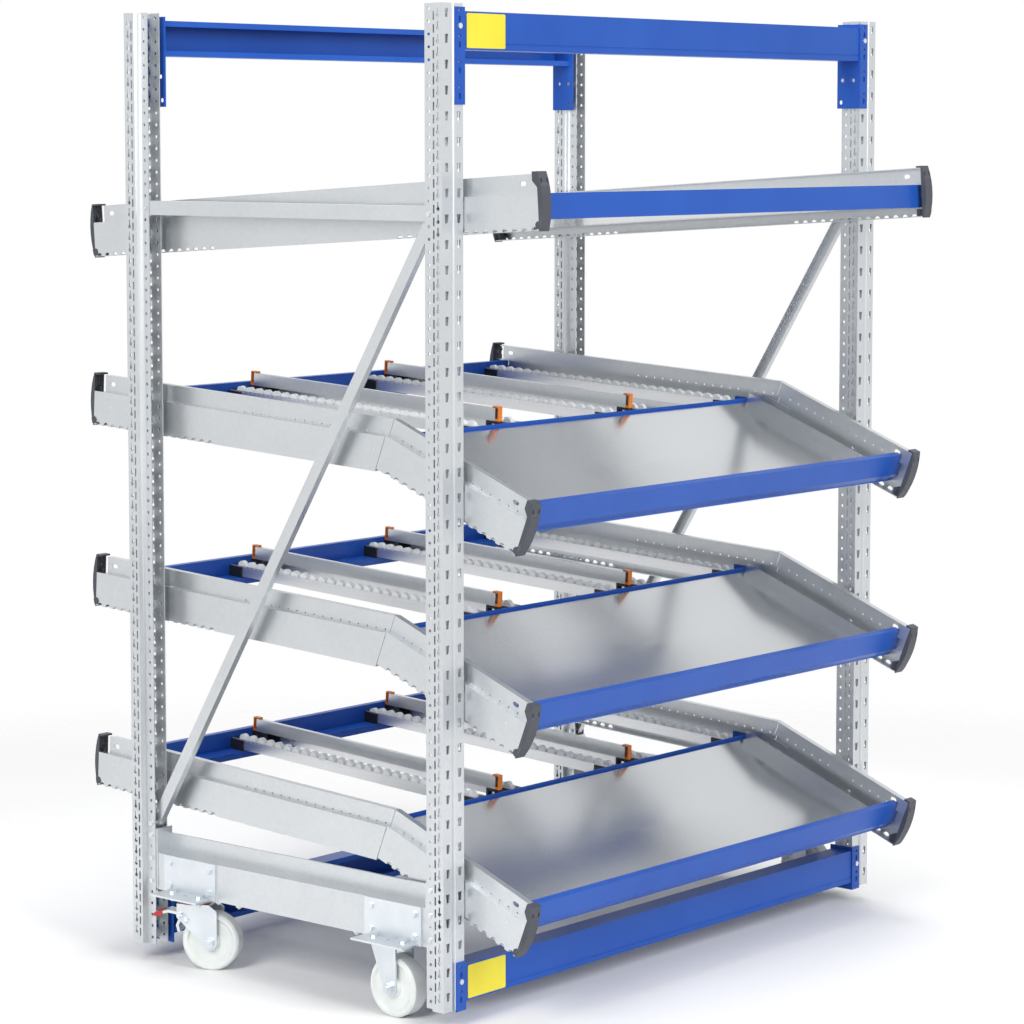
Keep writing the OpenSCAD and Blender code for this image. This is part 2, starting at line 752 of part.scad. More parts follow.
module rear_rails(level) {
  color(GALVANISED) in_frame() both_sides() difference() {
    rear_frame(level) difference() {
      along_y(-rail_h, rear_l) rail_outline();
      notches(rear_l - notch_end - notch_run, rear_l - notch_end);
      ledge_holes(2 * notch_end, ledge_run);
      rear_cut(rear_l);
      end_slot(rear_l, 1);
      end_bolt_hole(kink_wall + flange_w / 2, kink_bolt_z);
      end_bolt_hole(rear_wall - flange_w / 2, kink_bolt_z);
    }
    drop_frame(level) translate([0, seam - 2 * rail_h, -rail_h]) cube([rack_w, 2 * rail_h, 3 * rail_h]);
    drop_frame(level) splice_holes(1);
    hanger_holes(hanger_spots[3 + level]);
  }
}
module drop_rails(level) {
  color(GALVANISED) in_frame() both_sides() difference() {
    drop_frame(level) difference() {
      along_y(-drop_l, 0) rail_outline();
      notches(notch_end - drop_l, -notch_end);
      ledge_holes(cut_back + notch_end - drop_l, -notch_end);
      end_slot(-drop_l, -1);
      end_bolt_hole(front_y + end_bolt, front_bolt_z);
      splice_holes(-1);
    }
    hanger_holes(hanger_spots[level]);
  }
}
module return_rails() {
  color(GALVANISED) in_frame() both_sides() difference() {
    return_frame() difference() {
      along_y(-return_front, return_rear) rail_outline();
      notches(notch_end - return_front, notch_end + notch_run - return_front);
      notches(return_rear - notch_end - notch_run, return_rear - notch_end);
      rear_cut(return_rear);
      end_slot(-return_front, -1);
      end_slot(return_rear, 1);
      end_bolt_hole(return_wall_front + end_bolt, kink_bolt_z);
      end_bolt_hole(return_wall_rear - end_bolt, kink_bolt_z);
    }
    for (i = [6, 7]) hanger_holes(hanger_spots[i]);
  }
}

// Splice plates inside the rails, across the seam at the kink
splice_l = 76;
splice_h = 42;
splice_z = 34;
splice_t = 2;
module splice_holes(s) {
  rod_x(rail_in, rail_out + over, s * splice_l / 4, splice_z, bolt_hole);
}
module splice_plates() {
  color(ZINC) in_frame() both_sides() for (level = [0 : 2]) {
    drop_frame(level) difference() {
      translate([band_in - splice_t, -splice_l / 2, splice_z - splice_h / 2])
        cube([splice_t, splice_l, splice_h]);
      splice_holes(-1);
      splice_holes(1);
    }
  }
}

// Plastic end caps: bowed outer face on a round foot, a tongue in the rail, a lip over its upper edge
// with a lug in the end of its step, an ear on its outer face, and a tab in the cut-back of a rear end
cap_lip = 4;
cap_wall = 2;
cap_slot_l = 10;
cap_slot_w = 3;
cap_slot_down = 14;
cap_tongue = 15;
cap_tongue_h = 16;
cap_lug_l = 12;
cap_ear_r = 8;
cap_ear_t = 1.5;
cap_tab_l = 14;
cap_window_l = 5;
cap_window_h = 11;
module cap_outline() {
  bow = 180;
  high = rail_h + cap_lip;
  intersection() {
    square([cap_d, high]);
    translate([cap_d - bow, high / 2]) circle(r = bow, $fn = 96);
  }
  intersection() {
    translate([0, cap_foot_z - cap_d]) square([cap_d, 2 * cap_d]);
    translate([0, cap_foot_z]) circle(r = cap_d);
  }
}
module cap_slots() {
  for (s = [-1, 1]) {
    translate([(rail_in + rail_out) / 2 + s * rail_w / 3, cap_d + over, rail_h - cap_slot_down])
      rotate([90, 0, 0]) linear_extrude(cap_d + over - cap_wall) rotate(90) slot_2d(cap_slot_l, cap_slot_w);
  }
}
module cap_tab() {
  low = rail_band + side_play;
  difference() {
    translate([upper_in, -cap_tab_l, low])
      cube([upper_out - upper_in, cap_tab_l + over, rail_h + cap_lip - low]);
    translate([upper_in - over, -over - cap_window_l, (low + rail_h - cap_window_h) / 2])
      cube([rail_t + 2 * over, cap_window_l, cap_window_h]);
  }
}
module end_cap() {
  difference() {
    along_x(rail_in, rail_out) cap_outline();
    cap_slots();
  }
  translate([rail_in + over, -cap_tongue, rail_t + side_play])
    cube([rail_w - rail_t - over - side_play, cap_tongue + over, cap_tongue_h]);
  translate([upper_out + side_play, -cap_lug_l, rail_band + side_play])
    cube([rail_step - side_play, cap_lug_l + over, rail_h + cap_lip - rail_band - side_play]);
  translate([rail_in, -cap_lug_l, rail_h + side_play]) cube([rail_w, cap_lug_l + over, cap_lip - side_play]);
  along_x(rail_out, rail_out + cap_ear_t) translate([0, cap_foot_z]) circle(r = cap_ear_r);
}
module rear_cap() {
  end_cap();
  cap_tab();
}
module end_caps() {
  color(GREY_PLASTIC) in_frame() both_sides() {
    for (level = [0 : 2]) {
      rear_frame(level) translate([0, rear_l, 0]) rear_cap();
      drop_frame(level) translate([0, -drop_l, 0]) mirror([0, 1, 0]) end_cap();
    }
    return_frame() translate([0, return_rear, 0]) rear_cap();
    return_frame() translate([0, -return_front, 0]) mirror([0, 1, 0]) end_cap();
  }
}

// A beam between the rails: its outline along X, an end plate on each rail, and the corners
// above the rail's ledge cut clear of the upper band
module rail_beam(bolt_at, bolt_z, plate_y, plate_l, plate_zs) {
  ledge = rail_band - rail_t - side_play;
  difference() {
    union() {
      along_x(-beam_end, beam_end) children();
      both_sides() translate([beam_end - over, plate_y, plate_zs[0]])
        cube([plate_end_t + over, plate_l, plate_zs[1] - plate_zs[0]]);
    }
    both_sides() translate([upper_in - side_play, plate_y - rail_h, ledge])
      cube([rail_w, plate_l + 2 * rail_h, rail_h]);
    both_sides() end_bolt_hole(bolt_at, bolt_z);
  }
}

// Front beam of a flow level: upright face, lower band leaning back, flange under the tray
front_flange = 34;
front_lip = 14;
front_plate = [rail_band - 34, rail_band - 8];
front_bolt_z = (front_plate[0] + front_plate[1]) / 2;
module front_outline() {
  t = blue_t;
  y = front_y;
  low = tray_z - tray_t - t;
  bend = front_top - front_face;
  foot = y + front_lean;
  miter = 0.4 * t;
  polygon([
    [y, bend], [y, front_top], [y + front_lip, front_top], [y + front_lip, front_top - t],
    [y + t, front_top - t], [y + t, bend + miter], [foot + t, low + 2 * t + miter], [foot + t, low + t],
    [y + front_flange, low + t], [y + front_flange, low], [foot, low], [foot, low + 2 * t]
  ]);
}
module front_beam(level) {
  color(BLUE) in_frame() drop_frame(level)
    rail_beam(front_y + end_bolt, front_bolt_z, front_y, 2 * end_bolt, front_plate) front_outline();
}

// Kink beam and rear beam: walls with a flange on which the tracks end
kink_bolt_z = 45;
rear_lip = 14;
module kink_outline() {
  t = blue_t;
  y = kink_wall;
  z = flange_z;
  polygon([
    [y, z], [y, kink_top], [y + t, kink_top], [y + t, z + t], [y + flange_w, z + t],
    [y + flange_w, z - lip_down], [y + flange_w - t, z - lip_down], [y + flange_w - t, z]
  ]);
}
module rear_outline() {
  t = blue_t;
  y = rear_wall;
  z = flange_z;
  edge = y - flange_w + t;
  top = rail_band - t - side_play;
  polygon([
    [edge, z - lip_down], [edge, z + t], [y, z + t], [y, top], [y + rear_lip, top], [y + rear_lip, top - t],
    [y + t, top - t], [y + t, z], [edge + t, z], [edge + t, z - lip_down]
  ]);
}
ledge_l = 30;
module support_beams(level) {
  plate_zs = [flange_z - lip_down + blue_t, kink_top];
  color(BLUE) in_frame() {
    rear_frame(level) {
      rail_beam(kink_wall + flange_w / 2, kink_bolt_z, kink_wall, flange_w, plate_zs) kink_outline();
      rail_beam(rear_wall - flange_w / 2, kink_bolt_z, rear_wall - flange_w + blue_t, flange_w, plate_zs)
        rear_outline();
    }
    drop_frame(level) intersection() {
      translate([-rail_in + over, tray_rear - ledge_l, tray_z - tray_t - blue_t])
        cube([2 * (rail_in - over), 2 * ledge_l, blue_t]);
      translate([0, 0, rail_h]) rotate([-tilt, 0, 0])
        translate([-rack_w / 2, kink_wall + blue_t - rail_h, -2 * rail_h]) cube([rack_w, rail_h, 3 * rail_h]);
    }
  }
}

// Drop tray: sheet with upstands along both sides
module tray_outline(half) {
  t = tray_t;
  polygon([
    [-half, tray_z - t], [half, tray_z - t], [half, tray_z + tray_side], [half - t, tray_z + tray_side],
    [half - t, tray_z], [-half + t, tray_z], [-half + t, tray_z + tray_side], [-half, tray_z + tray_side]
  ]);
}
module drop_tray(level) {
  color(GALVANISED) in_frame() drop_frame(level) along_y(tray_front, tray_rear) tray_outline(tray_half);
}

// Wheel tracks: channels with a row of axle holes in each wall
module track_spots() {
  both_sides() for (x = track_xs) translate([x, 0, 0]) children();
}
module tracks(level) {
  color(ALUMINIUM) in_frame() rear_frame(level) track_spots() difference() {
    translate([-track_w / 2, track_front, track_z]) cube([track_w, track_rear - track_front, track_h]);
    translate([track_t - track_w / 2, track_front - over, track_z + track_t])
      cube([track_w - 2 * track_t, track_rear - track_front + 2 * over, track_h]);
    for (i = [0 : rollers]) {
      rod_x(-track_w / 2 - over, track_w / 2 + over, roller_start + i * roller_pitch, pivot_z,
            pivot_dia + 2 * pivot_play);
    }
  }
}
// Track wheel with its moulded axle, the tread to one side of the middle
module track_wheel() {
  r = pivot_dia / 2;
  e = track_w / 2 - pivot_play;
  a = roller_col - roller_w / 2;
  b = roller_col + roller_w / 2;
  rotate([0, 90, 0]) rotate_extrude()
    polygon([[0, -e], [r, -e], [r, a], [roller_dia / 2, a], [roller_dia / 2, b], [r, b], [r, e], [0, e]]);
}
module track_wheels(level) {
  color(NYLON) in_frame() rear_frame(level) track_spots() for (i = [0 : rollers]) {
    translate([0, roller_start + i * roller_pitch, pivot_z]) mirror([i % 2, 0, 0]) track_wheel();
  }
}
// Black holders that take the track ends on the beam flanges
module track_holder() {
  half = track_w / 2 + side_play / 2;
  difference() {
    translate([-half - holder_t, 0, flange_z + blue_t]) cube([2 * (half + holder_t), holder_l, holder_h]);
    translate([-half, holder_t, track_z]) cube([2 * half, holder_l, holder_h]);
  }
}
module track_holders() {
  color(BLACK_PLASTIC) in_frame() for (level = [0 : 2]) {
    rear_frame(level) track_spots() {
      translate([0, holder_front, 0]) track_holder();
      translate([0, holder_rear, 0]) mirror([0, 1, 0]) track_holder();
    }
  }
}

// Lane guides: upside-down channels between clips on the beam flanges
guide_front = holder_front + clip_l;
guide_rear = holder_rear - clip_l;
module guide_spots() {
  for (level = [0 : 2]) rear_frame(level) both_sides() translate([guide_x, 0, 0]) children();
}
module clip_ends() {
  translate([0, holder_front, 0]) children();
  translate([0, holder_rear, 0]) mirror([0, 1, 0]) children();
}
module lane_guides() {
  color(GALVANISED) in_frame() guide_spots() difference() {
    translate([-guide_w / 2, guide_front, guide_z]) cube([guide_w, guide_rear - guide_front, guide_h]);
    translate([guide_t - guide_w / 2, guide_front - over, guide_z - over])
      cube([guide_w - 2 * guide_t, guide_rear - guide_front + 2 * over, guide_h + over - guide_t]);
  }
}
foot_tab = 24;
foot_wall = 6;
foot_side = 1;
module guide_feet() {
  foot_half = guide_w / 2 + foot_side;
  color(BLACK_PLASTIC) in_frame() guide_spots() clip_ends() difference() {
    translate([-foot_half, 0, flange_z + blue_t]) cube([2 * foot_half, clip_l + foot_tab, guide_up]);
    translate([-foot_half - over, clip_l, flange_z + blue_t + foot_wall])
      cube([2 * (foot_half + over), foot_tab - foot_wall, guide_up - 2 * foot_wall]);
  }
}
clip_t = 2.5;
clip_rise = 4;
clip_arm = 8;
clip_base = 5;
clip_tongue = 18;
module clip_outline() {
  top = guide_z + guide_h + clip_rise;
  translate([0, guide_z]) square([clip_t, guide_h + clip_rise]);
  translate([0, guide_z]) square([clip_l, clip_base]);
  translate([0, top - clip_t]) square([clip_l + clip_arm, clip_t]);
  translate([clip_l + clip_arm - clip_t, guide_z + guide_h]) square([clip_t, clip_rise]);
}
module guide_clips() {
  inner = guide_w / 2 - guide_t - side_play;
  color(ORANGE) in_frame() guide_spots() clip_ends() {
    along_x(-guide_w / 2, guide_w / 2) clip_outline();
    translate([-inner, clip_l - over, guide_z]) cube([2 * inner, clip_tongue + over, clip_base]);
  }
}

// Return level: beams and a flat deck between the rails
return_inset = 11;
return_wall_front = return_inset - return_front;
return_wall_rear = return_rear - return_inset;
return_flange = 30;
return_lip = 12;
return_rear_h = 32;
return_plate = [tray_z - tray_t - blue_t, kink_top];
deck_slot_in = 48;
deck_slot_l = 30;
deck_slot_w = 7;
return_low = return_plate[0];
module return_front_outline() {
  t = blue_t;
  y = return_wall_front;
  top = tray_z + return_face;
  polygon([
    [y, return_low], [y, top], [y + return_lip, top], [y + return_lip, top - t], [y + t, top - t],
    [y + t, return_low + t],
    [y + return_flange, return_low + t], [y + return_flange, return_low]
  ]);
}
module return_front_beam() {
  color(BLUE) in_frame() return_frame()
    rail_beam(return_wall_front + end_bolt, kink_bolt_z, return_wall_front, return_flange, return_plate)
      return_front_outline();
}
module return_rear_outline() {
  t = blue_t;
  y = return_wall_rear;
  top = tray_z + return_rear_h;
  polygon([
    [y, return_low], [y, top], [y - t, top], [y - t, return_low + t], [y - return_flange, return_low + t],
    [y - return_flange, return_low]
  ]);
}
module return_rear_beam() {
  color(GALVANISED) in_frame() return_frame()
    rail_beam(return_wall_rear - end_bolt, kink_bolt_z, return_wall_rear - return_flange, return_flange,
              return_plate) return_rear_outline();
}
module return_deck() {
  y0 = return_wall_front + blue_t + over;
  y1 = return_wall_rear - blue_t - over;
  slots = floor(tray_half / deck_slot_pitch - 0.5);
  color(GALVANISED) in_frame() return_frame() difference() {
    along_y(y0, y1) tray_outline(tray_half);
    for (k = [-slots : slots]) {
      translate([k * deck_slot_pitch, y0 + deck_slot_in, tray_z - tray_t - over])
        linear_extrude(tray_t + 2 * over) slot_2d(deck_slot_l, deck_slot_w);
    }
  }
}

// All bolts, with their nuts
module lock_screw(z) {
  translate([post_x - slot_col, -web_y, z]) rotate([90, 0, 0]) {
    cylinder(h = bracket_t + over, d = lock_dia);
    translate([0, 0, bracket_t]) cylinder(h = lock_head, d = 2.2 * lock_dia);
  }
}
module beam_end_bolt(y, z) { rivet_x(beam_end - over, rail_out, y, z, bolt_dia); }
module splice_bolt(s) { rivet_x(band_in - splice_t, rail_out, s * splice_l / 4, splice_z, bolt_dia); }
module bolts() {
  flange_x = [post_x + neck_half, post_x - neck_half];
  color(ZINC) in_frame() both_sides() {
    front_and_rear() {
      lock_screw(top_lock);
      lock_screw(bottom_lock);
      bolt_x(flange_x[0], flange_x[1], bolt_y, tie_z, bolt_dia);
      for (i = [0 : 2]) bolt_x(flange_x[0], flange_x[1], bolt_y, tongue_z(i), bolt_dia);
    }
    bolt_x(flange_x[0], flange_x[1], bolt_y, brace_z, bolt_dia);
    for (spot = hanger_spots) {
      for (k = [0, 1]) rivet_x(band_in, post_inner + post_t, spot[0], spot[1] + k * hole_pitch, bolt_dia);
    }
    for (level = [0 : 2]) {
      rear_frame(level) {
        beam_end_bolt(kink_wall + flange_w / 2, kink_bolt_z);
        beam_end_bolt(rear_wall - flange_w / 2, kink_bolt_z);
      }
      drop_frame(level) {
        beam_end_bolt(front_y + end_bolt, front_bolt_z);
        splice_bolt(-1);
        splice_bolt(1);
      }
    }
    return_frame() {
      beam_end_bolt(return_wall_front + end_bolt, kink_bolt_z);
      beam_end_bolt(return_wall_rear - end_bolt, kink_bolt_z);
    }
    castor_spots() castor_bolts();
  }
}
module castor_bolts() {
  for (y = [-1, 1]) {
    for (z = [-1, 1]) {
      bolt_x(chassis_x + foot_t, chassis_x - chassis_t, y * foot_hole_l / 2, foot_mid + z * foot_hole_h / 2,
             castor_bolt_dia);
    }
    for (s = [-1, 1]) {
      grip = plate_t + (s > 0 ? foot_t : chassis_t);
      translate([castor_x + s * plate_hole_w / 2, y * plate_hole_l / 2, plate_z + grip]) rotate([180, 0, 0])
        bolt_body(grip, castor_bolt_dia);
    }
  }
}

// Castors, built around the middle of their plate with the wheel below
module front_castor() { translate([castor_x, -castor_y_front, 0]) children(); }
module rear_castor() { translate([castor_x, castor_y_rear, 0]) children(); }
module swivelled() { rear_castor() rotate([0, 0, -rest_swivel]) children(); }
module at_axle() { translate([0, -trail, 0]) children(); }
module castor_plate() {
  difference() {
    translate([-plate_w / 2, -plate_l / 2, plate_z]) cube([plate_w, plate_l, plate_t]);
    translate([-castor_x, 0, plate_z]) {
      plate_holes(plate_hole_w / 2);
      plate_holes(-plate_hole_w / 2);
    }
  }
}
module fork_legs() {
  for (s = [-1, 1]) along_x(s < 0 ? -fork_out : fork_gap / 2, s < 0 ? -fork_gap / 2 : fork_out) children();
}
axle_boss = 17;
fixed_top = plate_hole_l / 2 - castor_bolt_dia - side_play;
fixed_waist = 27;
waist_down = 34;
module fixed_leg() {
  waist = plate_z - waist_down;
  polygon([
    [-axle_boss, plate_z], [fixed_top, plate_z], [fixed_waist, waist], [axle_boss, axle_z], [-axle_boss, axle_z]
  ]);
  translate([0, axle_z]) circle(r = axle_boss);
}
module axle_hole(y) {
  rod_x(-fork_out - over, fork_out + over, y, axle_z, axle_dia + 2 * axle_hole_play);
}
module fixed_forks() {
  color(ZINC) in_frame() both_sides() front_castor() {
    castor_plate();
    difference() {
      union() {
        fork_legs() fixed_leg();
        translate([-fork_out, -axle_boss, plate_z - fork_t])
          cube([2 * fork_out, axle_boss + fixed_top, fork_t + over]);
      }
      axle_hole(0);
    }
  }
}
module axle() { bolt_x(-fork_out, fork_out, 0, axle_z, axle_dia); }
module front_axles() { color(ZINC) in_frame() both_sides() front_castor() axle(); }
// Nylon castor wheel with shallow dished sides and a plain bore
wheel_hub = 19;
dish = 5;
tread_round = 4;
module castor_wheel() {
  r = wheel_dia / 2;
  b = axle_dia / 2 + run_play;
  w = wheel_w / 2;
  h = hub_l / 2;
  half = [
    [b, h], [wheel_hub, h], [wheel_hub + dish / 2, w - dish], [r - 3 * dish, w - dish], [r - 2 * dish, w],
    [r - tread_round, w], [r, w - tread_round]
  ];
  last = len(half) - 1;
  back = [for (i = [0 : last]) [half[last - i][0], -half[last - i][1]]];
  translate([0, 0, axle_z]) rotate([0, 90, 0]) rotate_extrude($fn = 64) polygon(concat(half, back));
}
module wheel_front_right() { color(NYLON) in_frame() front_castor() castor_wheel(); }
module wheel_front_left() { color(NYLON) in_frame() mirrored() front_castor() castor_wheel(); }
module wheel_rear_right() { color(NYLON) in_frame() swivelled() at_axle() castor_wheel(); }
module wheel_rear_left() { color(NYLON) in_frame() mirrored() swivelled() at_axle() castor_wheel(); }

// Swivel castors: plate with race, kingpin and nut, dust ring, fork
nut_h = 7;
module swivel_plates() {
  color(ZINC) in_frame() both_sides() rear_castor() {
    castor_plate();
    rod_z(0, 0, plate_z - race_h, plate_z + over, race_dia);
    rod_z(0, 0, head_z - head_gap - nut_h, plate_z, kingpin_dia);
    translate([0, 0, head_z - head_gap - nut_h]) cylinder(h = nut_h, d = 1.7 * kingpin_dia, $fn = 6);
  }
}
ring_wall = 4;
module dust_rings() {
  color(RED) in_frame() both_sides() rear_castor() difference() {
    rod_z(0, 0, plate_z - race_h, plate_z, race_dia + 2 * (side_play + ring_wall));
    rod_z(0, 0, plate_z - race_h - over, plate_z + over, race_dia + 2 * side_play);
  }
}
fork_head = 37;
fork_round = 3;
brow = 8;
pedal_boss = 9;
module swivel_leg() {
  top = head_z + head_t;
  polygon([
    [fork_head - fork_round, top], [fork_head - fork_round, head_z - brow],
    [pedal_y + 2 * fork_round, pedal_z - 2 * fork_round],
    [axle_boss - trail - fork_round, axle_z - 2 * fork_round], [-trail - axle_boss, axle_z],
    [-trail - axle_boss, head_z - brow], [-fork_head, top]
  ]);
  translate([-trail, axle_z]) circle(r = axle_boss);
  translate([pedal_y, pedal_z]) circle(r = pedal_boss);
}
module swivel_fork() {
  difference() {
    union() {
      fork_legs() swivel_leg();
      translate([-fork_out, -fork_head, head_z]) cube([2 * fork_out, 2 * fork_head - fork_round, head_t]);
      rod_z(0, 0, head_z, head_z + head_t, 2 * (fork_head - fork_round));
    }
    rod_z(0, 0, head_z - over, head_z + head_t + over, kingpin_dia + 2 * run_play);
    axle_hole(-trail);
    rod_x(-fork_out - over, fork_out + over, pedal_y, pedal_z, pedal_pin + 2 * run_play);
  }
}
module swivel_fork_right() { color(ZINC) in_frame() swivelled() swivel_fork(); }
module swivel_fork_left() { color(ZINC) in_frame() mirrored() swivelled() swivel_fork(); }
module rear_axle_right() { color(ZINC) in_frame() swivelled() at_axle() axle(); }
module rear_axle_left() { color(ZINC) in_frame() mirrored() swivelled() at_axle() axle(); }

// Brake: a rocker on a pin through the fork, a pedal above it and a shoe behind the wheel
tip_y = 70;
tip_l = 20;
tip_t = 8;
pedal_half = 16;
shoe_half = 18;
pedal_t = 6;
pedal_bend = [58, pedal_z + 5];
pedal_dip = 3;
shoe_bend = [pedal_y + 10, pedal_z - 24];
shoe_end = [pedal_y + 7, pedal_z - 36];
module before_tip() { translate([0, pedal_z - tip_y]) square([tip_y, 2 * tip_y]); }
module pedal_outline() {
  bar([pedal_y, pedal_z], pedal_bend, pedal_t);
  intersection() {
    bar(pedal_bend, [tip_y + pedal_t, pedal_z], pedal_t);
    before_tip();
  }
}
module shoe_outline() {
  bar([pedal_y, pedal_z], shoe_bend, pedal_t);
  bar(shoe_bend, shoe_end, pedal_t);
}
module brake_pedal() {
  along_x(-pedal_half, pedal_half) pedal_outline();
  along_x(-shoe_half, shoe_half) shoe_outline();
  rod_x(-fork_out, fork_out, pedal_y, pedal_z, pedal_pin);
}
module brake_tip() {
  along_x(-shoe_half, shoe_half) difference() {
    bar([tip_y - tip_t, pedal_z + pedal_dip], [tip_y + tip_l - tip_t / 2, pedal_z - pedal_dip], tip_t);
    before_tip();
  }
}
module brake_pedal_right() { color(ZINC) in_frame() swivelled() brake_pedal(); }
module brake_pedal_left() { color(ZINC) in_frame() mirrored() swivelled() brake_pedal(); }
module brake_tip_right() { color(RED) in_frame() swivelled() brake_tip(); }
module brake_tip_left() { color(RED) in_frame() mirrored() swivelled() brake_tip(); }

upright_at(-1, -1);  // upright_front_left
upright_at(1, -1);  // upright_front_right
upright_at(-1, 1);  // upright_rear_left
upright_at(1, 1);  // upright_rear_right
top_beams();
bottom_beams();
upper_ties();
diagonal_braces();
brace_spacers();
chassis_rails();
castor_brackets();
rail_hangers();
bolts();
return_rails();
return_front_beam();
return_rear_beam();
return_deck();
rear_rails(2);  // rear_rails_upper
rear_rails(1);  // rear_rails_middle
rear_rails(0);  // rear_rails_lower
drop_rails(2);  // drop_rails_upper
drop_rails(1);  // drop_rails_middle
drop_rails(0);  // drop_rails_lower
front_beam(2);  // front_beam_upper
front_beam(1);  // front_beam_middle
front_beam(0);  // front_beam_lower
support_beams(2);  // support_beams_upper
support_beams(1);  // support_beams_middle
support_beams(0);  // support_beams_lower
tracks(2);  // tracks_upper
tracks(1);  // tracks_middle
tracks(0);  // tracks_lower
track_wheels(2);  // track_wheels_upper
track_wheels(1);  // track_wheels_middle
track_wheels(0);  // track_wheels_lower
drop_tray(2);  // drop_tray_upper
drop_tray(1);  // drop_tray_middle
drop_tray(0);  // drop_tray_lower
splice_plates();
end_caps();
track_holders();
lane_guides();
guide_feet();
guide_clips();
fixed_forks();
front_axles();
wheel_front_left();
wheel_front_right();
swivel_plates();
dust_rings();
swivel_fork_left();
swivel_fork_right();
rear_axle_left();
rear_axle_right();
wheel_rear_left();
wheel_rear_right();
brake_pedal_left();
brake_pedal_right();
brake_tip_left();
brake_tip_right();
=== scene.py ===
"""Mobile flow rack: finishes, perforated uprights, marked beams, moulded caps, castor details, bare plates.

Metres, in the model's own frame: X across the rack, Y from the picking side to the loading side, Z up.
"""

import json
import math

import bmesh
import bpy
from mathutils import Matrix, Vector


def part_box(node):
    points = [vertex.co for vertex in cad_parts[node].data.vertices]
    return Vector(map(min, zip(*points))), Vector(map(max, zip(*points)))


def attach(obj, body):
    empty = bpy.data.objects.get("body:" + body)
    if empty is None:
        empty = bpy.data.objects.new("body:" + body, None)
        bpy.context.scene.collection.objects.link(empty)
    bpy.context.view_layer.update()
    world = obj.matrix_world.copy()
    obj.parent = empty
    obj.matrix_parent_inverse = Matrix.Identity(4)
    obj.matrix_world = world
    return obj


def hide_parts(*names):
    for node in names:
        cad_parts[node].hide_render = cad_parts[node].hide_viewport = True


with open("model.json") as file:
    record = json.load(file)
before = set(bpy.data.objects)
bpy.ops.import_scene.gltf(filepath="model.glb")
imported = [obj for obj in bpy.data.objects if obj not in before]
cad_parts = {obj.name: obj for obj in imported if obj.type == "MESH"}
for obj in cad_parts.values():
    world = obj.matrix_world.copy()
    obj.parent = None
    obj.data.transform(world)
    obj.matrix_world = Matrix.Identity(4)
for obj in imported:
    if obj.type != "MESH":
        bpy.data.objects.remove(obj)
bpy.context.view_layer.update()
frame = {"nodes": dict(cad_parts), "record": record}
NODES = frame["nodes"]
JOINTS = {joint["name"]: joint for joint in frame["record"]["behaviour"]["joints"]}
SIDES = ("left", "right")
QUARTER_TURN = math.radians(90.0)
MIRROR = Matrix.Diagonal((-1.0, 1.0, 1.0, 1.0))


# Finishes

# Most of a noise texture's values lie in this span
NOISE_SPAN = (0.3, 0.7)
FULL_SPAN = (0.0, 1.0)
NOISE_ROUGHNESS = 0.55
LINE_ROUGHNESS = 0.6
# How far a plastic's roughness falls and rises with its grain
GRAIN_ROUGHNESS = (-0.06, 0.08)


class Finish:
    """A procedural material on Object coordinates. Constant sockets are set on the shader itself."""

    def __init__(self, name, **sockets):
        self.material = bpy.data.materials.new(name)
        self.material.use_nodes = True
        self.tree = self.material.node_tree
        self.shader = self.tree.nodes["Principled BSDF"]
        for socket, value in sockets.items():
            self.shader.inputs[socket.replace("_", " ")].default_value = value
        self.place = self.add("TexCoord").outputs["Object"]

    def add(self, kind, inputs=None, **settings):
        made = self.tree.nodes.new("ShaderNode" + kind)
        for key, value in settings.items():
            setattr(made, key, value)
        for socket, value in (inputs or {}).items():
            self.feed(made.inputs[socket], value)
        return made

    def feed(self, socket, value):
        if isinstance(value, bpy.types.NodeSocket):
            self.tree.links.new(value, socket)
        else:
            socket.default_value = value

    def noise(self, scale, detail, roughness=NOISE_ROUGHNESS, place=None):
        made = self.add("TexNoise", {"Vector": place or self.place, "Scale": scale, "Detail": detail,
                                     "Roughness": roughness})
        return made.outputs["Fac"]

    def lines(self, across, along, detail):
        """Noise drawn out into lines along Y."""
        stretched = self.add("Mapping", {"Vector": self.place, "Scale": (across, along, across)})
        place = stretched.outputs["Vector"]
        return self.noise(scale=1.0, detail=detail, roughness=LINE_ROUGHNESS, place=place)

    def flakes(self, scale):
        """A grey level for each crystal of a cell pattern."""
        cells = self.add("TexVoronoi", {"Vector": self.place, "Scale": scale})
        return self.add("RGBToBW", {"Color": cells.outputs["Color"]}).outputs["Val"]

    def spread(self, value, low, high, span=NOISE_SPAN):
        """value, mapped from span to low..high."""
        made = self.add("MapRange", {"Value": value, "From Min": span[0], "From Max": span[1],
                                     "To Min": low, "To Max": high})
        return made.outputs["Result"]

    def plus(self, base, value, share):
        """base with a share of value added to it."""
        made = self.add("Math", {0: value, 1: share, 2: base}, operation="MULTIPLY_ADD")
        return made.outputs[0]

    def colours(self, value, dark, light):
        made = self.add("MixRGB", {"Fac": value, "Color1": (*dark, 1.0), "Color2": (*light, 1.0)})
        return made.outputs["Color"]

    def shade(self, colour, roughness, height, depth, strength):
        """Feeds the shader, with height as a bump of the given depth, and returns the material."""
        bump = self.add("Bump", {"Height": height, "Distance": depth, "Strength": strength})
        self.feed(self.shader.inputs["Base Color"], colour)
        self.feed(self.shader.inputs["Roughness"], roughness)
        self.feed(self.shader.inputs["Normal"], bump.outputs["Normal"])
        return self.material


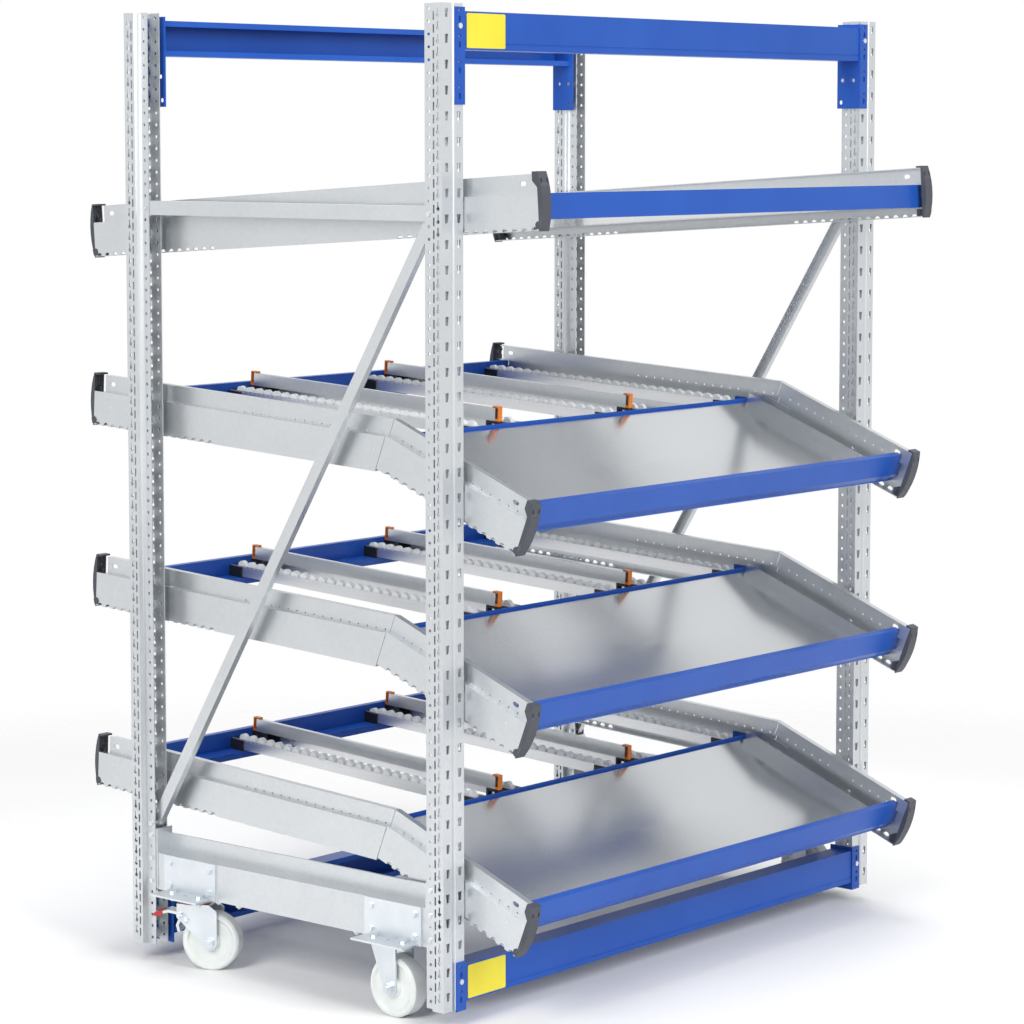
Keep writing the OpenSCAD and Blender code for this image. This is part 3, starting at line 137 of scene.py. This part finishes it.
def galvanised():
    """Hot-dip zinc: crystals of slightly different grey, soft clouds, and a fine uneven skin."""
    steel = Finish("galvanised_steel", Metallic=0.82)
    crystals = steel.flakes(scale=130.0)
    clouds = steel.noise(scale=5.0, detail=5.0)
    skin = steel.noise(scale=420.0, detail=2.0)
    tone = steel.plus(steel.spread(clouds, 0.35, 0.60), crystals, share=0.18)
    colour = steel.colours(tone, dark=(0.52, 0.545, 0.565), light=(0.68, 0.705, 0.725))
    roughness = steel.plus(steel.spread(clouds, 0.32, 0.38), crystals, share=-0.05)
    return steel.shade(colour, roughness, skin, depth=0.0001, strength=0.08)


def bright_sheet():
    """Rolled galvanised sheet: bright, with faint rolling lines from front to back."""
    sheet = Finish("bright_sheet", Metallic=0.9, Anisotropic=0.35)
    lines = sheet.lines(across=380.0, along=6.0, detail=4.0)
    clouds = sheet.noise(scale=3.0, detail=4.0)
    tone = sheet.plus(sheet.spread(clouds, 0.25, 0.5), lines, share=0.25)
    colour = sheet.colours(tone, dark=(0.56, 0.58, 0.60), light=(0.68, 0.70, 0.72))
    roughness = sheet.plus(sheet.spread(clouds, 0.17, 0.20), lines, share=0.04)
    return sheet.shade(colour, roughness, lines, depth=0.00004, strength=0.04)


def bright_zinc():
    """Electro-plated zinc: bluish and smoother than the dipped steel, with pale patches."""
    zinc = Finish("bright_zinc", Metallic=0.85)
    patches = zinc.noise(scale=24.0, detail=4.0)
    skin = zinc.noise(scale=700.0, detail=2.0)
    tone = zinc.spread(patches, 0.0, 1.0)
    colour = zinc.colours(tone, dark=(0.64, 0.68, 0.72), light=(0.72, 0.76, 0.79))
    return zinc.shade(colour, zinc.spread(patches, 0.28, 0.36), skin, depth=0.00005, strength=0.05)


def drawn_aluminium():
    """Natural aluminium with drawing lines along the tracks."""
    metal = Finish("drawn_aluminium", Metallic=0.92, Anisotropic=0.3)
    lines = metal.lines(across=900.0, along=7.0, detail=3.0)
    colour = metal.colours(lines, dark=(0.62, 0.63, 0.64), light=(0.82, 0.83, 0.84))
    roughness = metal.spread(lines, 0.26, 0.40, FULL_SPAN)
    return metal.shade(colour, roughness, lines, depth=0.0001, strength=0.1)


def blue_paint():
    """Powder coat: a slight orange peel, a little uneven in depth of colour."""
    paint = Finish("blue_powder_coat", Specular_IOR_Level=0.28)
    peel = paint.noise(scale=260.0, detail=2.0)
    clouds = paint.spread(paint.noise(scale=6.0, detail=4.0), 0.0, 1.0)
    colour = paint.colours(clouds, dark=(0.012, 0.080, 0.410), light=(0.017, 0.096, 0.450))
    return paint.shade(colour, paint.spread(peel, 0.30, 0.40), peel, depth=0.0002, strength=0.10)


def moulded_plastic(name, dark, light, grain, roughness):
    """Injection-moulded plastic with a fine spark-eroded grain."""
    plastic = Finish(name)
    skin = plastic.noise(grain, detail=3.0)
    clouds = plastic.spread(plastic.noise(scale=12.0, detail=3.0), 0.0, 1.0)
    smooth, rough = (roughness + change for change in GRAIN_ROUGHNESS)
    colour = plastic.colours(clouds, dark, light)
    return plastic.shade(colour, plastic.spread(skin, smooth, rough), skin, depth=0.0002, strength=0.2)


def milky_nylon():
    """Translucent nylon: light spreads a little way under the skin."""
    nylon = Finish("castor_nylon", Subsurface_Weight=0.15, Subsurface_Scale=0.006)
    clouds = nylon.noise(scale=30.0, detail=4.0)
    skin = nylon.noise(scale=500.0, detail=2.0)
    tone = nylon.spread(clouds, 0.0, 1.0)
    colour = nylon.colours(tone, dark=(0.72, 0.75, 0.735), light=(0.79, 0.82, 0.805))
    return nylon.shade(colour, nylon.spread(clouds, 0.30, 0.42), skin, depth=0.0001, strength=0.1)


FINISHES = {
    "galvanised": galvanised(),
    "sheet": bright_sheet(),
    "blue": blue_paint(),
    "zinc": bright_zinc(),
    "aluminium": drawn_aluminium(),
    "track_nylon": moulded_plastic(
        "track_wheel_nylon", dark=(0.76, 0.78, 0.79), light=(0.84, 0.86, 0.87),
        grain=600.0, roughness=0.34),
    "castor_nylon": milky_nylon(),
    "grey_plastic": moulded_plastic(
        "grey_cap_plastic", dark=(0.046, 0.050, 0.063), light=(0.060, 0.065, 0.082),
        grain=900.0, roughness=0.48),
    "black_plastic": moulded_plastic(
        "black_plastic", dark=(0.008, 0.008, 0.009), light=(0.014, 0.014, 0.016),
        grain=900.0, roughness=0.42),
    "orange_plastic": moulded_plastic(
        "orange_plastic", dark=(0.72, 0.17, 0.012), light=(0.82, 0.23, 0.020),
        grain=700.0, roughness=0.36),
    "red_plastic": moulded_plastic(
        "red_plastic", dark=(0.46, 0.030, 0.030), light=(0.56, 0.045, 0.042),
        grain=700.0, roughness=0.36),
}
for entry in frame["record"]["subparts"]:
    mesh = NODES[entry["node"]].data
    mesh.materials.clear()
    mesh.materials.append(FINISHES[entry["material_slot"]])


# Ways to make a piece

WELD = 0.00001
SHARP_ANGLE = math.radians(25.0)
ROUND_SIDES = 24
RING_STEPS = 20
BEVEL_STEPS = 3
# Washer, nut, chamfer, bolt end: sides, then lower radius, upper radius and height as shares of the thread
NUT_STACK = (
    (24, 1.05, 1.05, 0.15),
    (6, 0.95, 0.95, 0.55),
    (6, 0.95, 0.80, 0.12),
    (16, 0.50, 0.42, 0.35),
)


def meshed(name, shape):
    """A mesh from a finished bmesh, which is freed."""
    mesh = bpy.data.meshes.new(name)
    shape.to_mesh(mesh)
    shape.free()
    return mesh


def placed(name, data):
    """A new object in the scene."""
    made = bpy.data.objects.new(name, data)
    bpy.context.scene.collection.objects.link(made)
    return made


def piece(name, shape, finish, body="rack"):
    """Turns a finished bmesh into a mesh object that rides on a body."""
    bmesh.ops.recalc_face_normals(shape, faces=shape.faces)
    made = placed(name, meshed(name, shape))
    made.data.materials.append(finish)
    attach(made, body)
    return made


def slotted(name, shape, slot, body="rack"):
    """A piece with the finish of a material slot."""
    made = piece(name, shape, FINISHES[slot], body)
    return made


def block(shape, low, high):
    """A box between two corners; returns its vertices."""
    low, high = Vector(low), Vector(high)
    place = Matrix.Translation((low + high) / 2) @ Matrix.Diagonal((*(high - low), 1.0))
    return bmesh.ops.create_cube(shape, size=1.0, matrix=place)["verts"]


def ring(shape, centre, radii, x0, x1):
    """A flat ring about an axis along X, between two radii."""
    middle = Vector(((x0 + x1) / 2, centre[0], centre[1] + sum(radii) / 2))
    size = Matrix.Diagonal((x1 - x0, 1.0, radii[1] - radii[0], 1.0))
    place = Matrix.Translation(middle) @ size @ Matrix.Rotation(QUARTER_TURN, 4, "X")
    section = bmesh.ops.create_grid(shape, x_segments=1, y_segments=1, size=0.5, matrix=place)["verts"]
    edges = list({edge for vert in section for edge in vert.link_edges})
    bmesh.ops.delete(shape, geom=section[0].link_faces[:], context="FACES_ONLY")
    bmesh.ops.spin(shape, geom=edges, cent=(middle.x, *centre), axis=(1.0, 0.0, 0.0), angle=2.0 * math.pi,
                   steps=RING_STEPS, use_merge=True)


def draw_out(shape, face, way):
    """Extrudes a face by the vector way."""
    drawn = bmesh.ops.extrude_face_region(shape, geom=[face])["geom"]
    moved = [item for item in drawn if isinstance(item, bmesh.types.BMVert)]
    bmesh.ops.translate(shape, verts=moved, vec=way)


def slab(shape, outline, x0, x1):
    """An outline in Y and Z, drawn out along X."""
    face = shape.faces.new([shape.verts.new((x0, y, z)) for y, z in outline])
    draw_out(shape, face, (x1 - x0, 0.0, 0.0))


def round_ended(shape, place, radius, run, depth):
    """A disc in the place's own X and Y, its far half moved by run, drawn out along the place's own Z."""
    rim = bmesh.ops.create_circle(shape, cap_ends=True, segments=ROUND_SIDES, radius=radius,
                                  matrix=place)["verts"]
    far = [vert for vert in rim if (vert.co - place.translation).dot(run) > 0.0]
    bmesh.ops.translate(shape, verts=far, vec=run)
    draw_out(shape, rim[0].link_faces[0], place.to_3x3() @ Vector((0.0, 0.0, depth)))


def nut(shape, place, thread):
    """A nut on its washer and bolt end, along the place's own Z."""
    height = 0.0
    for sides, low_share, high_share, depth_share in NUT_STACK:
        depth = depth_share * thread
        bmesh.ops.create_cone(shape, cap_ends=True, segments=sides, radius1=low_share * thread,
                              radius2=high_share * thread, depth=depth,
                              matrix=place @ Matrix.Translation((0.0, 0.0, height + depth / 2)))
        height += depth


def rounded(shape, edges, radius):
    """Rounds edges off."""
    bmesh.ops.bevel(shape, geom=edges, offset=radius, affect="EDGES", segments=BEVEL_STEPS, profile=0.5,
                    material=-1)


def add_copies(whole, shape, places):
    """Adds copies of a finished bmesh to the bmesh whole, one at each place, and returns whole."""
    single = meshed("single", shape)
    for place in places:
        taken = len(whole.verts)
        whole.from_mesh(single)
        whole.verts.ensure_lookup_table()
        bmesh.ops.transform(whole, matrix=place, verts=whole.verts[taken:])
    bpy.data.meshes.remove(single)
    return whole


def recut(name, node, slot, cutters, smooth=True):
    """A node's shape with the cutters' solids taken out of it, shown in the node's place.

    Without smooth, every face is shaded flat.
    """
    bmesh.ops.recalc_face_normals(cutters, faces=cutters.faces)
    cutter = placed(name + "_cutters", meshed(name + "_cutters", cutters))
    shape = bmesh.new()
    shape.from_mesh(NODES[node].data)
    bmesh.ops.remove_doubles(shape, verts=shape.verts, dist=WELD)
    made = slotted(name, shape, slot)
    cut = made.modifiers.new("cuts", "BOOLEAN")
    cut.operation = "DIFFERENCE"
    cut.solver = "EXACT"
    cut.object = cutter
    whole = made.evaluated_get(bpy.context.evaluated_depsgraph_get())
    finished = bpy.data.meshes.new_from_object(whole)
    made.modifiers.clear()
    made.data = finished
    if smooth:
        finished.shade_smooth()
        finished.set_sharp_from_angle(angle=SHARP_ANGLE)
    else:
        finished.shade_flat()
    bpy.data.objects.remove(cutter)
    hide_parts(node)


# Uprights with their keyholes, tapered hook slots and fine slots

# How far cutters run to both sides of the face, and past the sides
FACE_DEPTH = 0.003
CUT_PAST = 0.0062
HOLE_PITCH = 0.025
KEY_LINE = 0.011
KEY_TAIL_W = 0.0032
KEY_TAIL_H = 0.014
FINE_LINE = 0.022
FINE_W = 0.004
FINE_H = 0.017
HOOK_PITCH = 0.050
FIRST_HOOK = 0.031
HOOK_COLUMN = 0.018
HOOK_TOP_W = 0.011
HOOK_FOOT_W = 0.0075
HOOK_H = 0.0175


def face_of(upright):
    """An upright's middle in X, the Y of its face, and the sign of the way from the face into it."""
    low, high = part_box(upright)
    at_front = low.y < 0.0
    return (low.x + high.x) / 2, low.y if at_front else high.y, 1.0 if at_front else -1.0


def hook_heights(upright):
    """Heights of an upright's hook slots, from the lowest up."""
    low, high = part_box(upright)
    count = int((high.z - low.z - FIRST_HOOK) / HOOK_PITCH) + 1
    return [low.z + FIRST_HOOK + k * HOOK_PITCH for k in range(count)]


def hook_slot(cutters, x, face, z):
    """A slot through the face that narrows towards its foot."""
    half = Vector((HOOK_TOP_W / 2, FACE_DEPTH, HOOK_H / 2))
    centre = Vector((x, face, z))
    corners = block(cutters, centre - half, centre + half)
    foot = [vert for vert in corners if vert.co.z < z]
    bmesh.ops.scale(cutters, verts=foot, vec=(HOOK_FOOT_W / HOOK_TOP_W, 1.0, 1.0),
                    space=Matrix.Translation((-x, 0.0, 0.0)))


def perforated_upright(upright):
    low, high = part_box(upright)
    middle, face, inwards = face_of(upright)
    cutters = bmesh.new()

    def through_sides(line, width, z0, z1):
        y = face + inwards * line
        block(cutters, (low.x - CUT_PAST, y - width / 2, z0), (high.x + CUT_PAST, y + width / 2, z1))

    for k in range(1, round((high.z - low.z) / HOLE_PITCH)):
        z = low.z + k * HOLE_PITCH
        through_sides(KEY_LINE, KEY_TAIL_W, z, z + KEY_TAIL_H)
        through_sides(FINE_LINE, FINE_W, z - FINE_H / 2, z + FINE_H / 2)
    for z in hook_heights(upright):
        for x in (middle - HOOK_COLUMN, middle + HOOK_COLUMN):
            hook_slot(cutters, x, face, z)
    recut("perforated_" + upright, upright, "galvanised", cutters)


for side in SIDES:
    perforated_upright("upright_front_" + side)
    perforated_upright("upright_rear_" + side)


# Cross beams with the marks of their hooks: at each slot a round hole, and a pocket below it

TOP_HOOKS = slice(-4, None)
BOTTOM_HOOKS = slice(2)
# The marks' cutters start this far before the upright's face, outside the bracket
MARK_OUT = 0.004
MARK_HOLE_R = 0.003
MARK_HOLE_UP = 0.0053
MARK_HOLE_DEPTH = 0.005
POCKET_R = 0.0034
POCKET_DOWN = 0.0088
POCKET_RUN = Vector((0.0, 0.0, -0.0055))
POCKET_DEPTH = 0.0035


def hook_marks(cutters, upright, to_middle, hooks):
    """Cutters for one bracket's marks; to_middle is the sign of the way in X to the rack's middle."""
    middle, face, inwards = face_of(upright)
    x = middle + to_middle * HOOK_COLUMN
    y = face - inwards * MARK_OUT
    through = Matrix.Rotation(-inwards * QUARTER_TURN, 4, "X")
    for z in hook_heights(upright)[hooks]:
        hole = Matrix.Translation((x, y, z + MARK_HOLE_UP)) @ through
        pocket = Matrix.Translation((x, y, z - POCKET_DOWN)) @ through
        round_ended(cutters, hole, MARK_HOLE_R, Vector(), MARK_HOLE_DEPTH)
        round_ended(cutters, pocket, POCKET_R, POCKET_RUN, POCKET_DEPTH)


def marked_beams(beams, hooks):
    cutters = bmesh.new()
    for end in ("front", "rear"):
        hook_marks(cutters, "upright_" + end + "_left", 1.0, hooks)
        hook_marks(cutters, "upright_" + end + "_right", -1.0, hooks)
    recut("marked_" + beams, beams, "blue", cutters, smooth=False)


marked_beams("top_beams", TOP_HOOKS)
marked_beams("bottom_beams", BOTTOM_HOOKS)


# End caps: a straight foot, a tapered lug at the picking side, an open one at the loading side

RAIL_H = 0.110
RAIL_BAND = 0.074
BAND_OUT = 0.669
CAP_IN = 0.650
CAP_OUT = 0.684
LUG_L = 0.0135
LUG_LOW = 0.073
LUG_INNER_TOP = 0.098
LUG_OUTER_TOP = 0.083
FOOT_TOP = (0.0088, 0.022)
FOOT_LEAN = math.radians(15.15)
FOOT_CUT = 0.030
FOOT_CUT_DOWN = 0.045
LEVELS = ("upper", "middle", "lower")
LEVEL_Y = -0.246045
REAR_SLOPE = math.radians(3.2)
REAR_REACH = 0.877
DROP_SLOPE = math.radians(21.5)
DROP_REACH = 0.397
RETURN_ORIGIN = (0.0, 0.006955, 1.6657)
RETURN_SLOPE = math.radians(-3.7)
RETURN_REAR = 0.625
RETURN_FRONT = 0.637


def rail_ends(loading):
    """Places of the rails' ends at one side: X across, Y out of the rail's end, Z up from its lower edge."""
    slope, reach = (REAR_SLOPE, REAR_REACH) if loading else (DROP_SLOPE, DROP_REACH)
    runs = [((0.0, LEVEL_Y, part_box("drop_rails_" + level)[1].z), slope, reach) for level in LEVELS]
    runs.append((RETURN_ORIGIN, RETURN_SLOPE, RETURN_REAR if loading else RETURN_FRONT))
    outwards = Matrix.Diagonal((1.0, 1.0 if loading else -1.0, 1.0, 1.0))
    for origin, tilt, along in runs:
        start = Matrix.Translation(origin) @ Matrix.Rotation(tilt, 4, "X") @ outwards
        end = start @ Matrix.Translation((0.0, along, -RAIL_H))
        yield end
        yield MIRROR @ end


def cap_cutter(loading):
    """The foot's outward bulge, and the lug or its lower corner."""
    shape = bmesh.new()
    foot = block(shape, (CAP_IN, 0.0, -FOOT_CUT_DOWN), (CAP_OUT, FOOT_CUT, FOOT_CUT))
    lean = Matrix.Translation((0.0, *FOOT_TOP)) @ Matrix.Rotation(-FOOT_LEAN, 4, "X")
    bmesh.ops.transform(shape, matrix=lean, verts=foot)
    lug_top = RAIL_H if loading else LUG_INNER_TOP
    lug = block(shape, (BAND_OUT, -LUG_L, LUG_LOW), (CAP_OUT, -WELD, lug_top))
    if not loading:
        tip = [vert for vert in lug if vert.co.z > RAIL_BAND and vert.co.y > -LUG_L / 2]
        bmesh.ops.translate(shape, verts=tip, vec=(0.0, 0.0, LUG_OUTER_TOP - LUG_INNER_TOP))
    return shape


def moulded_end_caps():
    cutters = bmesh.new()
    for loading in (False, True):
        add_copies(cutters, cap_cutter(loading), rail_ends(loading))
    recut("moulded_end_caps", "end_caps", "grey_plastic", cutters)


moulded_end_caps()


# Catches in the loading-side caps: a plate on the cap's tab, with a foot and an eyelet; their black is
# painted shade for the cap's shaded inside

CATCH_LOW = 0.0746
CATCH_T = 0.0006
CATCH_Y = (-0.0138, -0.0062)
CATCH_FOOT_Y = (-0.0138, -0.0004)
CATCH_FOOT_H = 0.011
CATCH_FOOT_T = 0.004
CATCH_ROUND = 0.0015
EYE_RADII = (0.0022, 0.0046)
EYE_T = 0.0035
EYE_CENTRE = (-0.0095, 0.098)


def cap_catches():
    shape = bmesh.new()
    foot_low = (BAND_OUT, CATCH_FOOT_Y[0], CATCH_LOW)
    foot_high = (BAND_OUT + CATCH_FOOT_T, CATCH_FOOT_Y[1], CATCH_LOW + CATCH_FOOT_H)
    block(shape, foot_low, foot_high)
    half_out = BAND_OUT + CATCH_FOOT_T / 2
    outer = [edge for edge in shape.edges if all(vert.co.x > half_out for vert in edge.verts)]
    rounded(shape, outer, CATCH_ROUND)
    # The plate is a thin black sheet on the tab: painted shade where the inside of the cap lies in shadow
    block(shape, (BAND_OUT, CATCH_Y[0], CATCH_LOW), (BAND_OUT + CATCH_T, CATCH_Y[1], RAIL_H))
    ring(shape, EYE_CENTRE, EYE_RADII, BAND_OUT, BAND_OUT + EYE_T)
    # The black finish on the plate, foot and eyelet is painted shade; the foot and eyelet shapes are real
    slotted("cap_catches", add_copies(bmesh.new(), shape, rail_ends(loading=True)), "black_plastic")


cap_catches()


# Castor details: flared legs on the fixed forks, brake links with their nuts, nuts under the chassis rails

FORK_IN = 0.024
FORK_OUT = 0.0275
LEG_FLARE = ((0.03039, 0.1445), (0.050, 0.1445), (0.0185, 0.066), (0.017, 0.0625), (0.027, 0.120))
LINK_R = 0.008
LINK_T = 0.002
PEDAL_PIN = (0.026, 0.1187)
LINK_PIN = (0.014, 0.1087)
PEDAL_THREAD = 0.0075
LINK_THREAD = 0.006
RAIL_THREAD = 0.008
RAIL_NUT_X = 0.7145
RAIL_NUT_YS = (-0.179, 0.162, 0.224)


def flared_legs():
    shape = bmesh.new()
    slab(shape, LEG_FLARE, -FORK_OUT, -FORK_IN)
    slab(shape, LEG_FLARE, FORK_IN, FORK_OUT)
    x, y, _ = JOINTS["front_wheel_spin_right"]["pos_m"]
    castor = Matrix.Translation((x, y, 0.0))
    slotted("flared_fork_legs", add_copies(bmesh.new(), shape, (castor, MIRROR @ castor)), "zinc")


def brake_links(side):
    """On both cheeks of a swivel fork: a round-ended link between the pedal's pin and a lower pin."""
    shape = bmesh.new()
    run = Vector((0.0, LINK_PIN[0] - PEDAL_PIN[0], LINK_PIN[1] - PEDAL_PIN[1]))
    for outwards in (1.0, -1.0):
        cheek = Matrix.Rotation(outwards * QUARTER_TURN, 4, "Y")
        start = Matrix.Translation((outwards * FORK_OUT, *PEDAL_PIN)) @ cheek
        round_ended(shape, start, LINK_R, run, LINK_T)
        for pin, thread in ((PEDAL_PIN, PEDAL_THREAD), (LINK_PIN, LINK_THREAD)):
            nut(shape, Matrix.Translation((outwards * (FORK_OUT + LINK_T), *pin)) @ cheek, thread)
    x, y, _ = JOINTS["castor_swivel_right"]["pos_m"]
    across = JOINTS["rear_wheel_spin_right"]["axis"]
    castor = Matrix.Translation((x, y, 0.0)) @ Matrix.Rotation(math.atan2(across[1], across[0]), 4, "Z")
    places = [castor if side == "right" else MIRROR @ castor]
    slotted("brake_links_" + side, add_copies(bmesh.new(), shape, places), "zinc", "swivel_" + side)


def chassis_nuts():
    shape = bmesh.new()
    down = Matrix.Rotation(2.0 * QUARTER_TURN, 4, "X")
    rail_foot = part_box("chassis_rails")[0].z
    for y in RAIL_NUT_YS:
        for x in (-RAIL_NUT_X, RAIL_NUT_X):
            nut(shape, Matrix.Translation((x, y, rail_foot)) @ down, RAIL_THREAD)
    slotted("chassis_nuts", shape, "zinc")


flared_legs()
for side in SIDES:
    brake_links(side)
chassis_nuts()


# Bare yellow plates on the left ends of the front cross beams

PLATE_W = 0.116
PLATE_H = 0.068
PLATE_T = 0.0005
PLATE_CORNER = 0.003
PLATE_GAP = 0.011
PLATE_DROP = 0.0455
YELLOW_VINYL = moulded_plastic(
    "yellow_vinyl", dark=(0.80, 0.68, 0.030), light=(0.86, 0.74, 0.040),
    grain=1200.0, roughness=0.34)


def label_plate(name, beams):
    """PLATE_DROP runs from the top of the beams' brackets down to the plate's middle."""
    upright_low, upright_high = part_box("upright_front_left")
    x0 = upright_high.x + PLATE_GAP
    middle_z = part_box(beams)[1].z - PLATE_DROP
    shape = bmesh.new()
    block(shape, (x0, upright_low.y - PLATE_T, middle_z - PLATE_H / 2),
          (x0 + PLATE_W, upright_low.y, middle_z + PLATE_H / 2))
    corners = [edge for edge in shape.edges if abs(edge.verts[0].co.y - edge.verts[1].co.y) > PLATE_T / 2]
    rounded(shape, corners, PLATE_CORNER)
    piece(name, shape, YELLOW_VINYL)


label_plate("label_plate_top", "top_beams")
label_plate("label_plate_bottom", "bottom_beams")


# Floor, light and camera

WHITE = (1.0, 1.0, 1.0, 1.0)
PAPER_WHITE = (0.93, 0.93, 0.93, 1.0)
FLOOR_R = 3.4
FLOOR_SIDES = 96
FLOOR_FADE = (2.0, 3.3)
SURROUND_LIGHT = 0.32
LIGHT_TARGET = (0.0, 0.0, 1.0)
# Name, place, width in metres and power in watts
SOFT_LIGHTS = (
    ("front_light", (-1.0, -6.0, 4.2), 3.5, 300.0),
    ("left_light", (-6.0, -1.0, 4.0), 3.0, 260.0),
    ("top_light", (0.5, 0.5, 6.0), 3.5, 230.0),
)
CAMERA_PLACE = (-5.487, -4.660, 1.785)
CAMERA_YAW = math.radians(49.582)
CAMERA_PITCH = math.radians(5.284)
CAMERA_SHIFT = -0.077
CAMERA_REACH = 100.0
SENSOR_MM = 36.0
FOCAL_PIXELS = 3251.7
IMAGE_SIDE = 1024.0


def pale_floor():
    """White paper that fades out around the rack."""
    shape = bmesh.new()
    bmesh.ops.create_circle(shape, cap_ends=True, segments=FLOOR_SIDES, radius=FLOOR_R)
    floor = placed("floor", meshed("floor", shape))
    paper = Finish("pale_floor", Roughness=0.9, Base_Color=PAPER_WHITE, Specular_IOR_Level=0.1)
    distance = paper.add("VectorMath", {0: paper.place}, operation="LENGTH").outputs["Value"]
    fade = paper.add("MapRange", {"Value": distance, "From Min": FLOOR_FADE[0], "From Max": FLOOR_FADE[1]},
                     interpolation_type="SMOOTHSTEP").outputs["Result"]
    clear = paper.add("BsdfTransparent")
    blend = paper.add("MixShader", {0: fade, 1: paper.shader.outputs["BSDF"], 2: clear.outputs["BSDF"]})
    paper.tree.links.new(blend.outputs["Shader"], paper.tree.nodes["Material Output"].inputs["Surface"])
    floor.data.materials.append(paper.material)


def white_surroundings():
    """White for the camera and in reflections, a softer grey as light."""
    world = bpy.data.worlds.new("surroundings")
    bpy.context.scene.world = world
    world.use_nodes = True
    tree = world.node_tree
    light = tree.nodes["Background"]
    light.inputs["Color"].default_value = WHITE
    light.inputs["Strength"].default_value = SURROUND_LIGHT
    seen = tree.nodes.new("ShaderNodeBackground")
    seen.inputs["Color"].default_value = WHITE
    rays = tree.nodes.new("ShaderNodeLightPath")
    either = rays.outputs["Is Camera Ray"]
    for ray in ("Is Glossy Ray", "Is Transmission Ray"):
        largest = tree.nodes.new("ShaderNodeMath")
        largest.operation = "MAXIMUM"
        tree.links.new(either, largest.inputs[0])
        tree.links.new(rays.outputs[ray], largest.inputs[1])
        either = largest.outputs[0]
    mix = tree.nodes.new("ShaderNodeMixShader")
    tree.links.new(either, mix.inputs[0])
    tree.links.new(light.outputs["Background"], mix.inputs[1])
    tree.links.new(seen.outputs["Background"], mix.inputs[2])
    tree.links.new(mix.outputs["Shader"], tree.nodes["World Output"].inputs["Surface"])


def soft_light(name, place, width, power):
    lamp = bpy.data.lights.new(name, "AREA")
    lamp.size = width
    lamp.energy = power
    made = placed(name, lamp)
    made.location = place
    made.rotation_euler = (Vector(LIGHT_TARGET) - Vector(place)).to_track_quat("-Z", "Y").to_euler()


def photo_camera():
    lens = bpy.data.cameras.new("camera")
    lens.sensor_width = SENSOR_MM
    lens.lens = FOCAL_PIXELS / IMAGE_SIDE * SENSOR_MM
    lens.shift_y = CAMERA_SHIFT
    lens.clip_end = CAMERA_REACH
    made = placed("camera", lens)
    made.location = CAMERA_PLACE
    made.rotation_euler = (QUARTER_TURN - CAMERA_PITCH, 0.0, -CAMERA_YAW)
    bpy.context.scene.camera = made


pale_floor()
white_surroundings()
for light in SOFT_LIGHTS:
    soft_light(*light)
photo_camera()
bpy.context.scene.view_settings.view_transform = "Standard"
